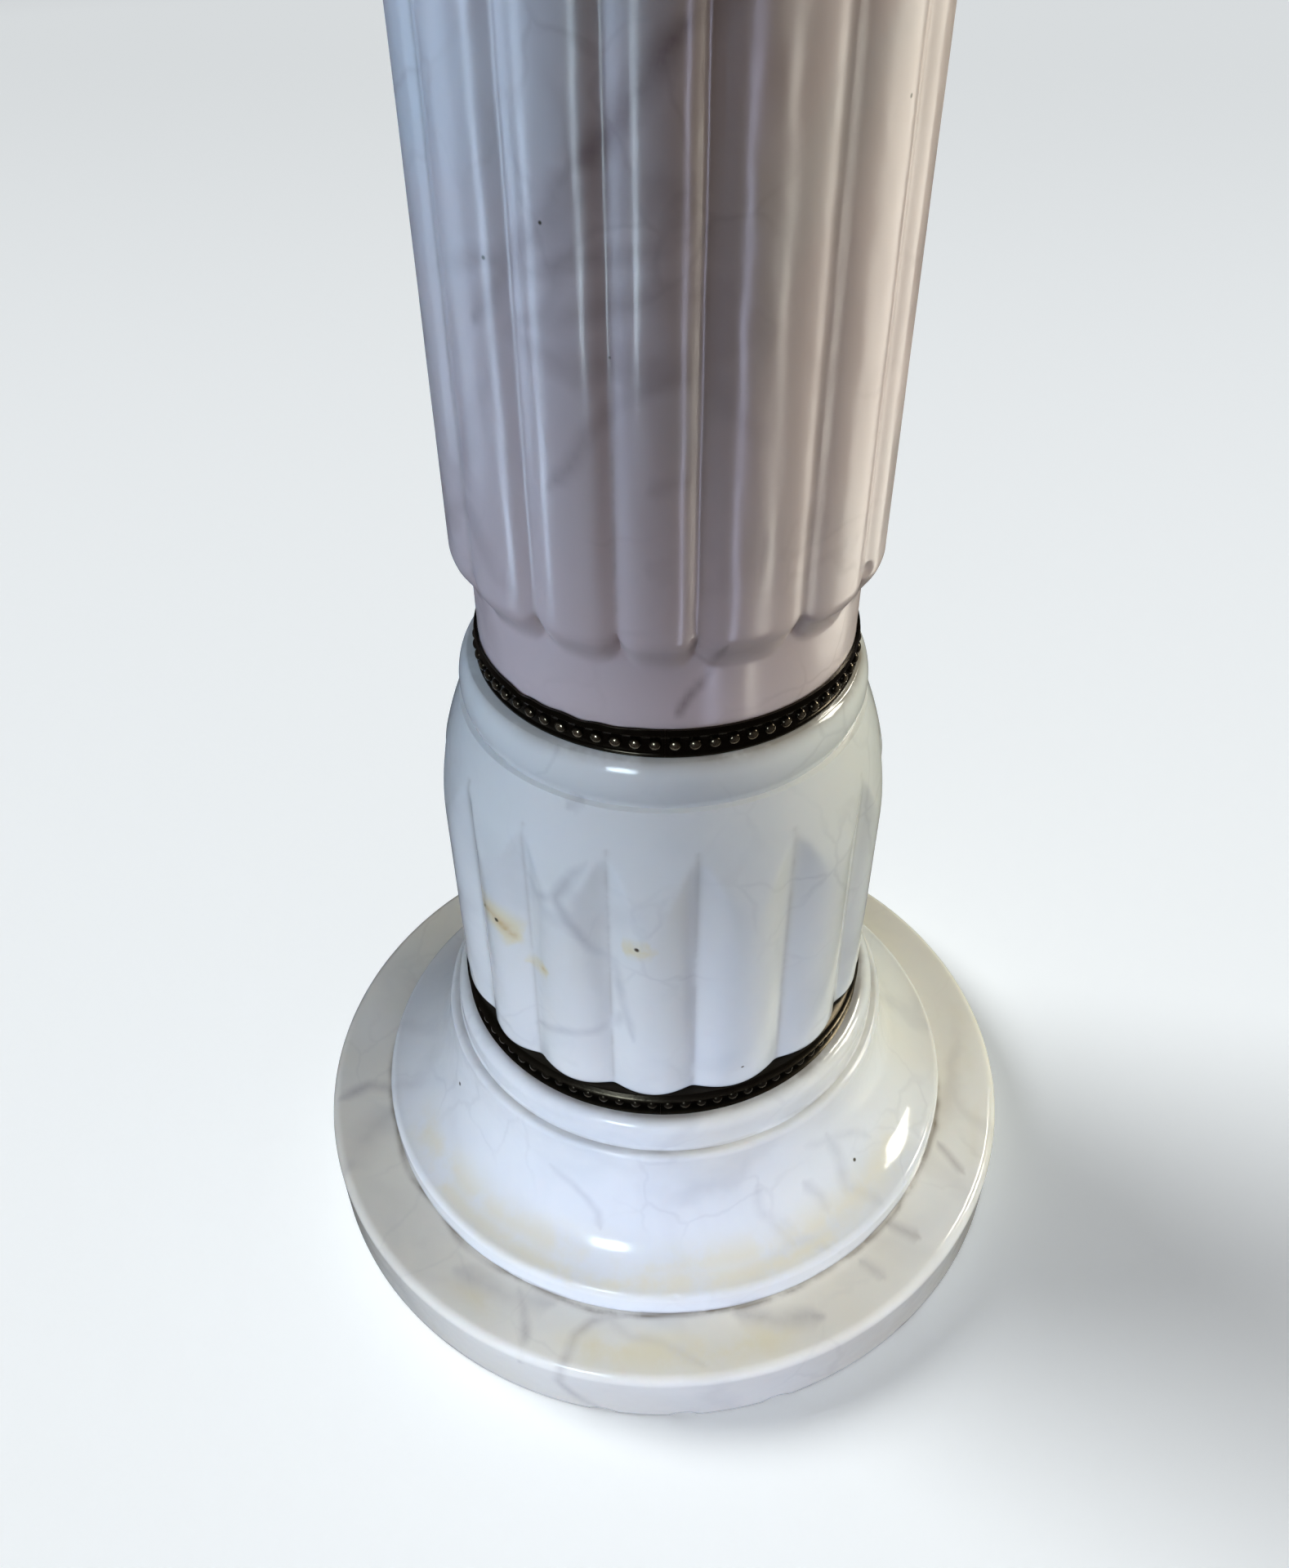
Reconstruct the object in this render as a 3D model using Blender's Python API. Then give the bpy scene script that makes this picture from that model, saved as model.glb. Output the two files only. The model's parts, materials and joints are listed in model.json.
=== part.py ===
"""Carved stone pedestal column with beaded brass rings.

Six turned and carved stones stand on one another: a base disc, a bell-shaped
base, a lobed drum, a reeded shaft, a flared capital and a top disc. A strip of
beaded brass is bent round each of the three necks.

Metres, +Z up, origin at the middle of the underside. The front is towards -Y.
"""
import math

import bmesh
import bpy

# Gap at each dry joint, between two stones or a stone and a brass ring
JOINT = 0.0003

# Base disc
BASE_RADIUS = 0.1402
BASE_THICKNESS = 0.0261
BASE_TOP_ROUNDING = 0.0035
BASE_FOOT_ROUNDING = 0.0008

# Bell: a lip at the foot, a hollow sweep, a shoulder and a collar
# A sweep's pulls are shares of its width and of its fall, from the upper end
BELL_HEIGHT = 0.0659
LIP_RADIUS = 0.1150
LIP_HEIGHT = 0.0105
LIP_ROUNDING = 0.0030
BELL_SHOULDER_RADIUS = 0.0858
BELL_COLLAR_RADIUS = 0.0815
BELL_COLLAR_HEIGHT = 0.0122
BELL_COLLAR_ROUNDING = 0.0050
BELL_STEP = 0.0022
BELL_UPPER_PULL = (0.06, 0.62)
BELL_LOWER_PULL = (0.42, 0.90)

# Lobes and reeds: the same number on drum and shaft, with their grooves in line
# The angles are in degrees from the front, and the wanders are the hand carver's
LOBES = 15
FIRST_GROOVE = -61.1
DRUM_WANDER = (3.0, 0.7, -0.4, -2.5, -1.0, 2.5)
SHAFT_WANDER = (2.4, 3.5, 1.1, -3.6, -0.1, 0.8)

# Lobed drum, with a parabola for its shoulder and a torus for its collar
# It stands a little to the left of the other stones, as it was set
DRUM_SET_OVER = -0.0010
DRUM_RADIUS = 0.0760
DRUM_HEIGHT = 0.1409
DRUM_FOOT_TAPER = 0.0004
DRUM_FOOT_ROUNDING = 0.0035
DRUM_FOOT_INSET = 0.0014
DRUM_GROOVE_AT_FOOT = 0.0038
DRUM_GROOVE_AT_TOP = 0.0031
SHOULDER_HEIGHT = 0.0450
SHOULDER_DROP = 0.0096
SHOULDER_CURVE = 2.0
TORUS_HEIGHT = 0.0158
TORUS_RADIUS = 0.0658
TORUS_BULGE = 0.0050
TORUS_FOOT_TURN = -40.0
TORUS_TOP_TURN = 72.0
SPIGOT_RADIUS = 0.0702

# Reeded shaft
SHAFT_LENGTH = 0.6664
SHAFT_RADIUS = 0.0655
SHAFT_GROOVE = 0.0026
NECK_RADIUS = 0.0592
LOWER_NECK = 0.0287
UPPER_NECK = 0.0287
REED_END_LENGTH = 0.0142
TONGUE_RISE = 0.0060

# Beaded brass strip
RING_HEIGHT = 0.0097
STRIP_THICKNESS = 0.0009
FOOT_STRIP_THICKNESS = 0.0045
BEAD_PITCH = 0.00588
BEAD_STAND = 0.0010

# Flared capital and the disc on it
CAPITAL_HEIGHT = 0.0640
CAPITAL_FOOT_RADIUS = 0.0665
CAPITAL_BAND_HEIGHT = 0.0110
CAPITAL_LIP_RADIUS = 0.1060
CAPITAL_LIP_HEIGHT = 0.0090
CAPITAL_ROUNDING = 0.0025
CAPITAL_UPPER_PULL = (0.62, 0.10)
CAPITAL_LOWER_PULL = (0.98, 0.55)
TOP_RADIUS = 0.1250
TOP_THICKNESS = 0.0252
TOP_ROUNDING = 0.0045

# Fineness of the facets; across a lobe, a station is 0 on its crest and 1 in a groove
TURNED_SIDES = 48
ARC_STEPS = 3
SWEEP_STEPS = 6
SHOULDER_STEPS = 6
TORUS_STEPS = 4
LOBE_STATIONS = (-1.0, -0.75, -0.25, 0.25, 0.75)
REED_END_SHARES = (0.0, 0.3, 0.65, 1.0)
SHARP_EDGE = math.radians(35)
AXIS_MERGE = 0.00001

# Heights, each one worked out from what it stands on
BELL_FOOT = BASE_THICKNESS + JOINT
BELL_TOP = BELL_FOOT + BELL_HEIGHT
SPIGOT_FOOT = BELL_TOP + JOINT
DRUM_FOOT = SPIGOT_FOOT + RING_HEIGHT + JOINT
DRUM_TOP = DRUM_FOOT + DRUM_HEIGHT
SHAFT_FOOT = DRUM_TOP + JOINT
SHAFT_TOP = SHAFT_FOOT + SHAFT_LENGTH
CAPITAL_FOOT = SHAFT_TOP + JOINT
CAPITAL_TOP = CAPITAL_FOOT + CAPITAL_HEIGHT
TOP_DISC_FOOT = CAPITAL_TOP + JOINT
TOP_DISC_TOP = TOP_DISC_FOOT + TOP_THICKNESS


def clear_scene():
    for thing in list(bpy.data.objects):
        bpy.data.objects.remove(thing, do_unlink=True)


def finish_material(name, colour, roughness, metallic):
    material = bpy.data.materials.new(name)
    material.use_nodes = True
    shader = material.node_tree.nodes["Principled BSDF"]
    shader.inputs["Base Color"].default_value = (*colour, 1.0)
    shader.inputs["Roughness"].default_value = roughness
    shader.inputs["Metallic"].default_value = metallic
    return material


def polished_stone(name):
    return finish_material(name, (0.78, 0.78, 0.75), 0.16, 0.0)


def oxidised_brass(name):
    return finish_material(name, (0.10, 0.075, 0.04), 0.38, 1.0)


def finished_piece(name, build, material):
    """The object for a closed mesh, smooth but for its sharp edges."""
    bmesh.ops.recalc_face_normals(build, faces=build.faces[:])
    mesh = bpy.data.meshes.new(name)
    build.to_mesh(mesh)
    build.free()
    mesh.shade_smooth()
    mesh.set_sharp_from_angle(angle=SHARP_EDGE)
    mesh.materials.append(material)
    piece = bpy.data.objects.new(name, mesh)
    bpy.context.scene.collection.objects.link(piece)
    return piece


def rounded(before, corner, after, radius, steps=ARC_STEPS):
    """Points of the arc that rounds a corner of an outline, in order."""
    to_before = math.atan2(before[1] - corner[1], before[0] - corner[0])
    to_after = math.atan2(after[1] - corner[1], after[0] - corner[0])
    opening = (to_after - to_before + math.pi) % (2 * math.pi) - math.pi
    reach = radius / math.sin(abs(opening) / 2)
    bisector = to_before + opening / 2
    centre = (corner[0] + reach * math.cos(bisector), corner[1] + reach * math.sin(bisector))
    sweep = math.copysign(math.pi - abs(opening), -opening)
    start = to_before + math.copysign(math.pi / 2, -opening)
    points = []
    for step in range(steps + 1):
        angle = start + sweep * step / steps
        points.append((centre[0] + radius * math.cos(angle), centre[1] + radius * math.sin(angle)))
    return points


def sweep(start, end, upper_pull, lower_pull):
    """Points of a smooth sweep down from start to end, drawn towards two pull points."""
    width = end[0] - start[0]
    fall = end[1] - start[1]
    corners = [start]
    for across, down in (upper_pull, lower_pull):
        corners.append((start[0] + across * width, start[1] + down * fall))
    corners.append(end)
    points = []
    for step in range(SWEEP_STEPS + 1):
        t = step / SWEEP_STEPS
        weights = ((1 - t) ** 3, 3 * t * (1 - t) ** 2, 3 * t * t * (1 - t), t ** 3)
        radius = sum(weight * corner[0] for weight, corner in zip(weights, corners))
        height = sum(weight * corner[1] for weight, corner in zip(weights, corners))
        points.append((radius, height))
    return points


def turned_piece(name, outline, material):
    """A stone turned on the lathe: its half outline, top to bottom, spun round Z."""
    build = bmesh.new()
    points = [build.verts.new((radius, 0.0, height)) for radius, height in outline]
    lines = [build.edges.new(ends) for ends in zip(points, points[1:])]
    bmesh.ops.spin(build, geom=points + lines, axis=(0, 0, 1), cent=(0, 0, 0),
                   angle=2 * math.pi, steps=TURNED_SIDES, use_merge=True)
    bmesh.ops.remove_doubles(build, verts=build.verts[:], dist=AXIS_MERGE)
    return finished_piece(name, build, material)


def disc_outline(radius, foot, top, top_rounding, foot_rounding):
    upper = rounded((0, top), (radius, top), (radius, foot), top_rounding)
    lower = rounded((radius, top), (radius, foot), (0, foot), foot_rounding, steps=1)
    return [(0, top)] + upper + lower + [(0, foot)]


def base_disc():
    outline = disc_outline(BASE_RADIUS, 0.0, BASE_THICKNESS, BASE_TOP_ROUNDING, BASE_FOOT_ROUNDING)
    return turned_piece("base_disc", outline, polished_stone("base_disc_stone"))


def base_bell():
    collar_foot = BELL_TOP - BELL_COLLAR_HEIGHT
    lip_top = BELL_FOOT + LIP_HEIGHT
    collar = rounded((0, BELL_TOP), (BELL_COLLAR_RADIUS, BELL_TOP),
                     (BELL_COLLAR_RADIUS, collar_foot), BELL_COLLAR_ROUNDING)
    step = [(BELL_COLLAR_RADIUS, collar_foot)]
    hollow = sweep((BELL_SHOULDER_RADIUS, collar_foot - BELL_STEP), (LIP_RADIUS - LIP_ROUNDING, lip_top),
                   BELL_UPPER_PULL, BELL_LOWER_PULL)
    lip = [(LIP_RADIUS, lip_top - LIP_ROUNDING), (LIP_RADIUS, BELL_FOOT)]
    outline = [(0, BELL_TOP)] + collar + step + hollow + lip + [(0, BELL_FOOT)]
    return turned_piece("base_bell", outline, polished_stone("base_bell_stone"))


def groove_angles(wander):
    """The grooves in degrees, the first ones straying as the hand cut them."""
    pitch = 360.0 / LOBES
    angles = [FIRST_GROOVE + pitch * index for index in range(LOBES)]
    for index, stray in enumerate(wander[:LOBES]):
        angles[index] += stray
    return angles


def lobe_columns(wander):
    """One (angle, station) for each column of facets round a carved piece."""
    grooves = groove_angles(wander)
    columns = []
    for index, left in enumerate(grooves):
        right = grooves[(index + 1) % LOBES]
        if right < left:
            right += 360.0
        for station in LOBE_STATIONS:
            angle = left + (right - left) * (station + 1) / 2
            columns.append((math.radians(angle), abs(station)))
    return columns


def carved_piece(name, rows, columns, material):
    """A closed stone from rows of points, bottom row first, and a flat face at each end."""
    build = bmesh.new()
    rings = []
    for row in rows:
        ring = []
        for angle, station in columns:
            radius, height = row(station)
            ring.append(build.verts.new((radius * math.sin(angle), -radius * math.cos(angle), height)))
        rings.append(ring)
    count = len(columns)
    for lower, upper in zip(rings, rings[1:]):
        for index in range(count):
            after = (index + 1) % count
            build.faces.new((lower[index], lower[after], upper[after], upper[index]))
    build.faces.new(list(reversed(rings[0])))
    build.faces.new(rings[-1])
    bmesh.ops.triangulate(build, faces=build.faces[:])
    return finished_piece(name, build, material)


def level(radius, height):
    """A plain round row."""
    def row(station):
        return (radius, height)
    return row


def drum_row(height, turned_radius):
    """A row of the drum: the turned outline, cut back where a groove is deeper."""
    rise = (height - DRUM_FOOT) / (DRUM_TOP - DRUM_FOOT)
    groove = DRUM_GROOVE_AT_FOOT + rise * (DRUM_GROOVE_AT_TOP - DRUM_GROOVE_AT_FOOT)

    def row(station):
        return (min(turned_radius, DRUM_RADIUS - groove * station ** 2), height)
    return row


def foot_edge_row(height, turned_radius):
    """The drum's foot, where the scallops between the lobes show on the brass."""
    def row(station):
        return (turned_radius - DRUM_GROOVE_AT_FOOT * station ** 2, height)
    return row


def shoulder_rows():
    start = DRUM_TOP - TORUS_HEIGHT - SHOULDER_HEIGHT
    rows = []
    for step in range(SHOULDER_STEPS + 1):
        share = step / SHOULDER_STEPS
        height = start + SHOULDER_HEIGHT * share
        rows.append(drum_row(height, DRUM_RADIUS - SHOULDER_DROP * share ** SHOULDER_CURVE))
    return rows


def torus_rows():
    first = math.radians(TORUS_FOOT_TURN)
    last = math.radians(TORUS_TOP_TURN)
    half_height = TORUS_HEIGHT / (math.sin(last) - math.sin(first))
    middle = DRUM_TOP - half_height * math.sin(last)
    rows = []
    for step in range(TORUS_STEPS + 1):
        turn = first + (last - first) * step / TORUS_STEPS
        radius = TORUS_RADIUS - TORUS_BULGE * (1 - math.cos(turn))
        rows.append(level(radius, middle + half_height * math.sin(turn)))
    return rows


def lobed_drum():
    foot_radius = DRUM_RADIUS - DRUM_FOOT_TAPER
    rows = [level(SPIGOT_RADIUS, SPIGOT_FOOT), level(SPIGOT_RADIUS, DRUM_FOOT)]
    rows.append(foot_edge_row(DRUM_FOOT, foot_radius - DRUM_FOOT_INSET))
    rows.append(foot_edge_row(DRUM_FOOT + DRUM_FOOT_ROUNDING, foot_radius))
    rows += shoulder_rows()
    rows += torus_rows()
    columns = lobe_columns(DRUM_WANDER)
    drum = carved_piece("lobed_drum", rows, columns, polished_stone("lobed_drum_stone"))
    drum.location.x = DRUM_SET_OVER
    return drum


def reed_row(neck_edge, upwards, share):
    """A row across the reed ends, at a share of the way from the neck to the full reed."""
    swell = share * share * (3 - 2 * share)
    turned_radius = NECK_RADIUS + (SHAFT_RADIUS - NECK_RADIUS) * swell

    def row(station):
        radius = min(turned_radius, SHAFT_RADIUS - SHAFT_GROOVE * station ** 2)
        height = neck_edge + upwards * (TONGUE_RISE * station ** 4 + REED_END_LENGTH * share)
        return (radius, height)
    return row


def reeded_shaft():
    lower_edge = SHAFT_FOOT + LOWER_NECK
    upper_edge = SHAFT_TOP - UPPER_NECK
    rows = [level(NECK_RADIUS, SHAFT_FOOT)]
    rows += [reed_row(lower_edge, 1, share) for share in REED_END_SHARES]
    rows += [reed_row(upper_edge, -1, share) for share in reversed(REED_END_SHARES)]
    rows.append(level(NECK_RADIUS, SHAFT_TOP))
    columns = lobe_columns(SHAFT_WANDER)
    return carved_piece("reeded_shaft", rows, columns, polished_stone("reeded_shaft_stone"))


def beaded_ring(name, neck_radius, thickness, foot):
    """A hoop of brass strip with a row of beads on its outer face."""
    inner = neck_radius + JOINT
    outer = inner + thickness
    tip = outer + BEAD_STAND
    top = foot + RING_HEIGHT
    beads = round(2 * math.pi * tip / BEAD_PITCH)
    corners = ((inner, foot), (outer, foot), (outer, top), (inner, top))
    build = bmesh.new()
    sections = []
    tips = []
    for index in range(beads):
        angle = 2 * math.pi * index / beads
        section = []
        for radius, height in corners:
            point = (radius * math.sin(angle), -radius * math.cos(angle), height)
            section.append(build.verts.new(point))
        sections.append(section)
        middle = angle + math.pi / beads
        point = (tip * math.sin(middle), -tip * math.cos(middle), foot + RING_HEIGHT / 2)
        tips.append(build.verts.new(point))
    for index in range(beads):
        here = sections[index]
        after = sections[(index + 1) % beads]
        build.faces.new((here[0], after[0], after[1], here[1]))
        build.faces.new((here[2], after[2], after[3], here[3]))
        build.faces.new((here[3], after[3], after[0], here[0]))
        rim = (here[1], after[1], after[2], here[2])
        for side in range(4):
            build.faces.new((rim[side], rim[(side + 1) % 4], tips[index]))
    return finished_piece(name, build, oxidised_brass(name + "_brass"))


def foot_beaded_ring():
    ring = beaded_ring("foot_beaded_ring", SPIGOT_RADIUS, FOOT_STRIP_THICKNESS, SPIGOT_FOOT)
    ring.location.x = DRUM_SET_OVER
    return ring


def neck_beaded_ring():
    return beaded_ring("neck_beaded_ring", NECK_RADIUS, STRIP_THICKNESS, SHAFT_FOOT)


def capital_beaded_ring():
    return beaded_ring("capital_beaded_ring", NECK_RADIUS, STRIP_THICKNESS, SHAFT_TOP - RING_HEIGHT)


def capital():
    band_top = CAPITAL_FOOT + CAPITAL_BAND_HEIGHT
    lip_foot = CAPITAL_TOP - CAPITAL_LIP_HEIGHT
    lip = rounded((0, CAPITAL_TOP), (CAPITAL_LIP_RADIUS, CAPITAL_TOP),
                  (CAPITAL_LIP_RADIUS, lip_foot), CAPITAL_ROUNDING, steps=1)
    flare = sweep((CAPITAL_LIP_RADIUS, lip_foot), (CAPITAL_FOOT_RADIUS - CAPITAL_ROUNDING, band_top),
                  CAPITAL_UPPER_PULL, CAPITAL_LOWER_PULL)
    band_edge = [(CAPITAL_FOOT_RADIUS, band_top - CAPITAL_ROUNDING)]
    band = rounded((CAPITAL_FOOT_RADIUS, CAPITAL_TOP), (CAPITAL_FOOT_RADIUS, CAPITAL_FOOT),
                   (0, CAPITAL_FOOT), CAPITAL_ROUNDING, steps=1)
    outline = [(0, CAPITAL_TOP)] + lip + flare + band_edge + band + [(0, CAPITAL_FOOT)]
    return turned_piece("capital", outline, polished_stone("capital_stone"))


def top_disc():
    outline = disc_outline(TOP_RADIUS, TOP_DISC_FOOT, TOP_DISC_TOP, TOP_ROUNDING, TOP_ROUNDING)
    return turned_piece("top_disc", outline, polished_stone("top_disc_stone"))


def main():
    clear_scene()
    base_disc()
    base_bell()
    foot_beaded_ring()
    lobed_drum()
    neck_beaded_ring()
    reeded_shaft()
    capital_beaded_ring()
    capital()
    top_disc()


main()
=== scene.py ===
# %% [markdown]
# # A stone pedestal with beaded brass rings
#
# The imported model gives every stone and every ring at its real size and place.
# This lesson dresses it: each piece is made again as a fine mesh over its solid,
# gets its own marks of wear, and is lit the way a glossy white stone needs.
#
# We work in metres. The column stands on Z, and its front looks towards -Y.

# %% Load the frame
import json
import math

import bpy
import numpy as np
from mathutils import Matrix, Vector

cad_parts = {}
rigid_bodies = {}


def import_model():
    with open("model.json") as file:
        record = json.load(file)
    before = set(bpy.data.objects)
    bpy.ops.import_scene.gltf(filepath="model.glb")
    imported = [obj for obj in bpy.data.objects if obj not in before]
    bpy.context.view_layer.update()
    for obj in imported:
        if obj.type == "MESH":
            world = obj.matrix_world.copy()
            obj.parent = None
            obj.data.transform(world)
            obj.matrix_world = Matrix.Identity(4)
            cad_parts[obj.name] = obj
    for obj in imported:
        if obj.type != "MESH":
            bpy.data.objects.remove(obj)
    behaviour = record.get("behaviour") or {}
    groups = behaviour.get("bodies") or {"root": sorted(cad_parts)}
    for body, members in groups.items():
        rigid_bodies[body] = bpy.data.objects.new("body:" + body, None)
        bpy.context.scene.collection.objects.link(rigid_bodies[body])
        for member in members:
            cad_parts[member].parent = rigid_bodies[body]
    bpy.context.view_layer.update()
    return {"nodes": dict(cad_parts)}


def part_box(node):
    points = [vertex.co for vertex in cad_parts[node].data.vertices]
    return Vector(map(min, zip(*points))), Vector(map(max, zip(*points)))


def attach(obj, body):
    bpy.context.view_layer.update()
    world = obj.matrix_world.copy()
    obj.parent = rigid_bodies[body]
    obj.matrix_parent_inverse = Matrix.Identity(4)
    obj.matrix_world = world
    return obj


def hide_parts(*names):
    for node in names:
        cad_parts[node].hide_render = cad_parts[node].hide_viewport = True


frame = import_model()
MM = 0.001
HAIR = 0.01 * MM
print("solids in the frame:", sorted(frame["nodes"]))

# %% [markdown]
# ## The camera
#
# The column was photographed from a standing eye, close by and looking down, so
# the shaft swells towards the lens and the base looks small. A camera could be
# aimed with a Track To constraint, but the picture also leans by half a degree,
# so we build its three axes from pitch, yaw and roll and write them as a matrix.
# The picture was cropped a little off centre, which is what `shift_x` is for.

# %% Place the camera
PHOTO_WIDE = 1578
PHOTO_TALL = 1920
FOCAL_PIXELS = 1580
CENTRE_PIXEL = 821.5
SENSOR = 36
CAMERA_BACK = 0.34121
CAMERA_UP = 0.47942
PITCH = 0.7184
YAW = -0.0049
ROLL = 0.0081


def place_in_scene(name, data):
    thing = bpy.data.objects.new(name, data)
    bpy.context.scene.collection.objects.link(thing)
    return thing


def photo_camera():
    turn = Matrix.Rotation(YAW, 3, "Z")
    ahead = turn @ Vector((0, math.cos(PITCH), -math.sin(PITCH)))
    level = turn @ Vector((1, 0, 0))
    upright = level.cross(ahead)
    right = math.cos(ROLL) * level + math.sin(ROLL) * upright
    up = math.cos(ROLL) * upright - math.sin(ROLL) * level
    placed = Matrix((right, up, -ahead)).transposed().to_4x4()
    placed.translation = Vector((0, -CAMERA_BACK, CAMERA_UP))
    lens = bpy.data.cameras.new("photo_camera")
    lens.sensor_fit = "VERTICAL"
    lens.sensor_height = SENSOR
    lens.lens = SENSOR * FOCAL_PIXELS / PHOTO_TALL
    lens.shift_x = (PHOTO_WIDE / 2 - CENTRE_PIXEL) / PHOTO_TALL
    lens.clip_start = 0.02
    camera = place_in_scene("photo_camera", lens)
    camera.matrix_world = placed
    bpy.context.scene.camera = camera
    return camera


camera = photo_camera()
print("camera", [round(v, 3) for v in camera.location], "lens", round(camera.data.lens, 2))

# %% [markdown]
# ## From rows of points to a closed stone
#
# Everything here was turned on a lathe, and some of it was then carved. So one
# helper serves all the stones: it takes a radius for every row and every angle
# and joins them into a closed skin. A Screw modifier would do for the plain
# stones, but not for lobes that fade into a shoulder. A grid does both, and its
# points are close enough together for chips a few millimetres wide.

# %% Grid to mesh
COLUMNS = 720
SHARP = math.radians(50)


def around(columns=COLUMNS):
    return np.arange(columns) * 2 * math.pi / columns


def grid(rows):
    """Radius, angle and height of every point, from the radius and height of each row."""
    angle = np.broadcast_to(around(), (len(rows), COLUMNS))
    return np.repeat(rows[:, :1], COLUMNS, axis=1), angle, np.repeat(rows[:, 1:], COLUMNS, axis=1)


def add_piece(name, points, faces):
    mesh = bpy.data.meshes.new(name)
    mesh.from_pydata([tuple(p) for p in points], [], faces)
    mesh.validate()
    mesh.shade_smooth()
    mesh.set_sharp_from_angle(angle=SHARP)
    return place_in_scene(name, mesh)


def skin(name, radius, angle, height):
    """A closed solid from a grid of radii: rows run upwards, columns go round."""
    rows, columns = radius.shape
    ring = np.stack([radius * np.sin(angle), -radius * np.cos(angle), height], -1)
    points = list(ring.reshape(-1, 3))
    faces = []
    for row in range(rows - 1):
        for column in range(columns):
            after = (column + 1) % columns
            low = row * columns
            high = low + columns
            faces.append((low + column, low + after, high + after, high + column))
    for row, step in ((0, -1), (rows - 1, 1)):
        centre = len(points)
        points.append(np.array([ring[row, :, 0].mean(), ring[row, :, 1].mean(), height[row].mean()]))
        for column in range(columns):
            pair = (row * columns + column, row * columns + (column + 1) % columns)
            faces.append((*pair[::step], centre))
    return add_piece(name, points, faces)


# %% [markdown]
# ## Outlines with true arcs
#
# A turner works to a half outline. We write it from the foot up as a few named
# radii and heights, with arcs where edges were eased and one Bezier sweep for a
# hollow. `evenly` then lays points along it at a steady distance, so that the
# grid is as fine on a flat as on a curve.

# %% Outline helpers
ROW_SPACING = 0.9 * MM


def arc(centre, radius, first, last, steps=10):
    turns = np.radians(np.linspace(first, last, steps + 1))
    return [(centre[0] + radius * math.cos(t), centre[1] + radius * math.sin(t)) for t in turns]


def sweep(start, start_pull, end_pull, end, steps=40):
    points = []
    for t in np.linspace(0, 1, steps + 1):
        weights = ((1 - t) ** 3, 3 * t * (1 - t) ** 2, 3 * t * t * (1 - t), t ** 3)
        corners = (start, start_pull, end_pull, end)
        points.append(tuple(sum(w * c[axis] for w, c in zip(weights, corners)) for axis in (0, 1)))
    return points


def evenly(outline, spacing=ROW_SPACING):
    """The same outline with extra points, so that no step is longer than the spacing."""
    fine = [outline[0]]
    for before, after in zip(outline, outline[1:]):
        length = math.dist(before, after)
        steps = max(1, math.ceil(length / spacing))
        for step in range(1, steps + 1):
            share = step / steps
            fine.append(tuple(b + share * (a - b) for b, a in zip(before, after)))
    return np.array(fine)


# %% [markdown]
# ## Chips
#
# Alabaster is soft, and its edges bruise. A chip could be cut with a Boolean, but
# a small dent pressed into the fine grid keeps the mesh closed and looks the
# same: points near the blow move inwards, most in the middle, with a rough floor.
# `lift` says how far the blow points down or, above zero, up.

# %% Chip helper
CHIP_ROUGHNESS = 0.35
CHIP_GRAIN = 1500


def ripple(points, scale, seed):
    """A smooth wandering number between -1 and 1 for every point."""
    x, y, z = (points[..., axis] * scale for axis in range(3))
    first = np.sin(x * 1.7 + seed) * np.cos(y * 1.3 - seed * 2)
    second = np.sin(y * 2.9 + z * 2.1 + seed * 3) * np.cos(x * 0.7 - z * 1.9)
    return (first + second) / 2


def on_column(radius, angle, height):
    """A point given by radius, degrees from the front and height."""
    turn = math.radians(angle)
    return Vector((radius * math.sin(turn), -radius * math.cos(turn), height))


def mesh_points(piece):
    flat = np.zeros(len(piece.data.vertices) * 3)
    piece.data.vertices.foreach_get("co", flat)
    return flat.reshape(-1, 3)


def chip(piece, centre, reach, depth, seed, lift):
    points = mesh_points(piece)
    gap = np.linalg.norm((points - np.array(centre)) / np.array(reach), axis=1)
    bite = np.clip(1 - gap ** 2, 0, 1) * (1 + CHIP_ROUGHNESS * ripple(points, CHIP_GRAIN, seed))
    inwards = np.array([-centre[0], -centre[1], lift * math.hypot(centre[0], centre[1])])
    inwards = inwards / np.linalg.norm(inwards)
    points = points + bite[:, None] * depth * inwards
    piece.data.vertices.foreach_set("co", points.ravel())
    piece.data.update()
    print("chip on", piece.name, "moved", int((bite > 0).sum()), "points")


# %% [markdown]
# ## The base disc
#
# The foot is a plain disc, eased at its upper edge and nearly sharp below. Its
# outline runs on across the top face, which gives the painted veins their points.

# %% Make the base disc
def half_width(node):
    low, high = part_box(node)
    return (high.x - low.x) / 2


def turned(name, outline, spacing=ROW_SPACING):
    return skin(name, *grid(evenly(outline, spacing)))


DISC_FACE_REACH = 0.79
DISC_FOOT_EASING = 0.8 * MM
DISC_TOP_EASING = 3.5 * MM


def disc_outline(node, foot_easing, top_easing):
    low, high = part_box(node)
    radius = half_width(node)
    outline = arc((radius - foot_easing, low.z + foot_easing), foot_easing, -90, 0, 4)
    outline = outline + arc((radius - top_easing, high.z - top_easing), top_easing, 0, 90, 12)
    return outline + [(DISC_FACE_REACH * radius, high.z)]


base_disc = turned("base_disc_stone", disc_outline("base_disc", DISC_FOOT_EASING, DISC_TOP_EASING))
print("base disc", len(base_disc.data.polygons), "faces")

# %% [markdown]
# ## The bell
#
# The bell rises from a rounded lip through a hollow sweep to a small soft
# shoulder, and ends in a collar. The sweep is a Bezier with two pull points,
# because a turner's hollow is never one clean arc.

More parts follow.
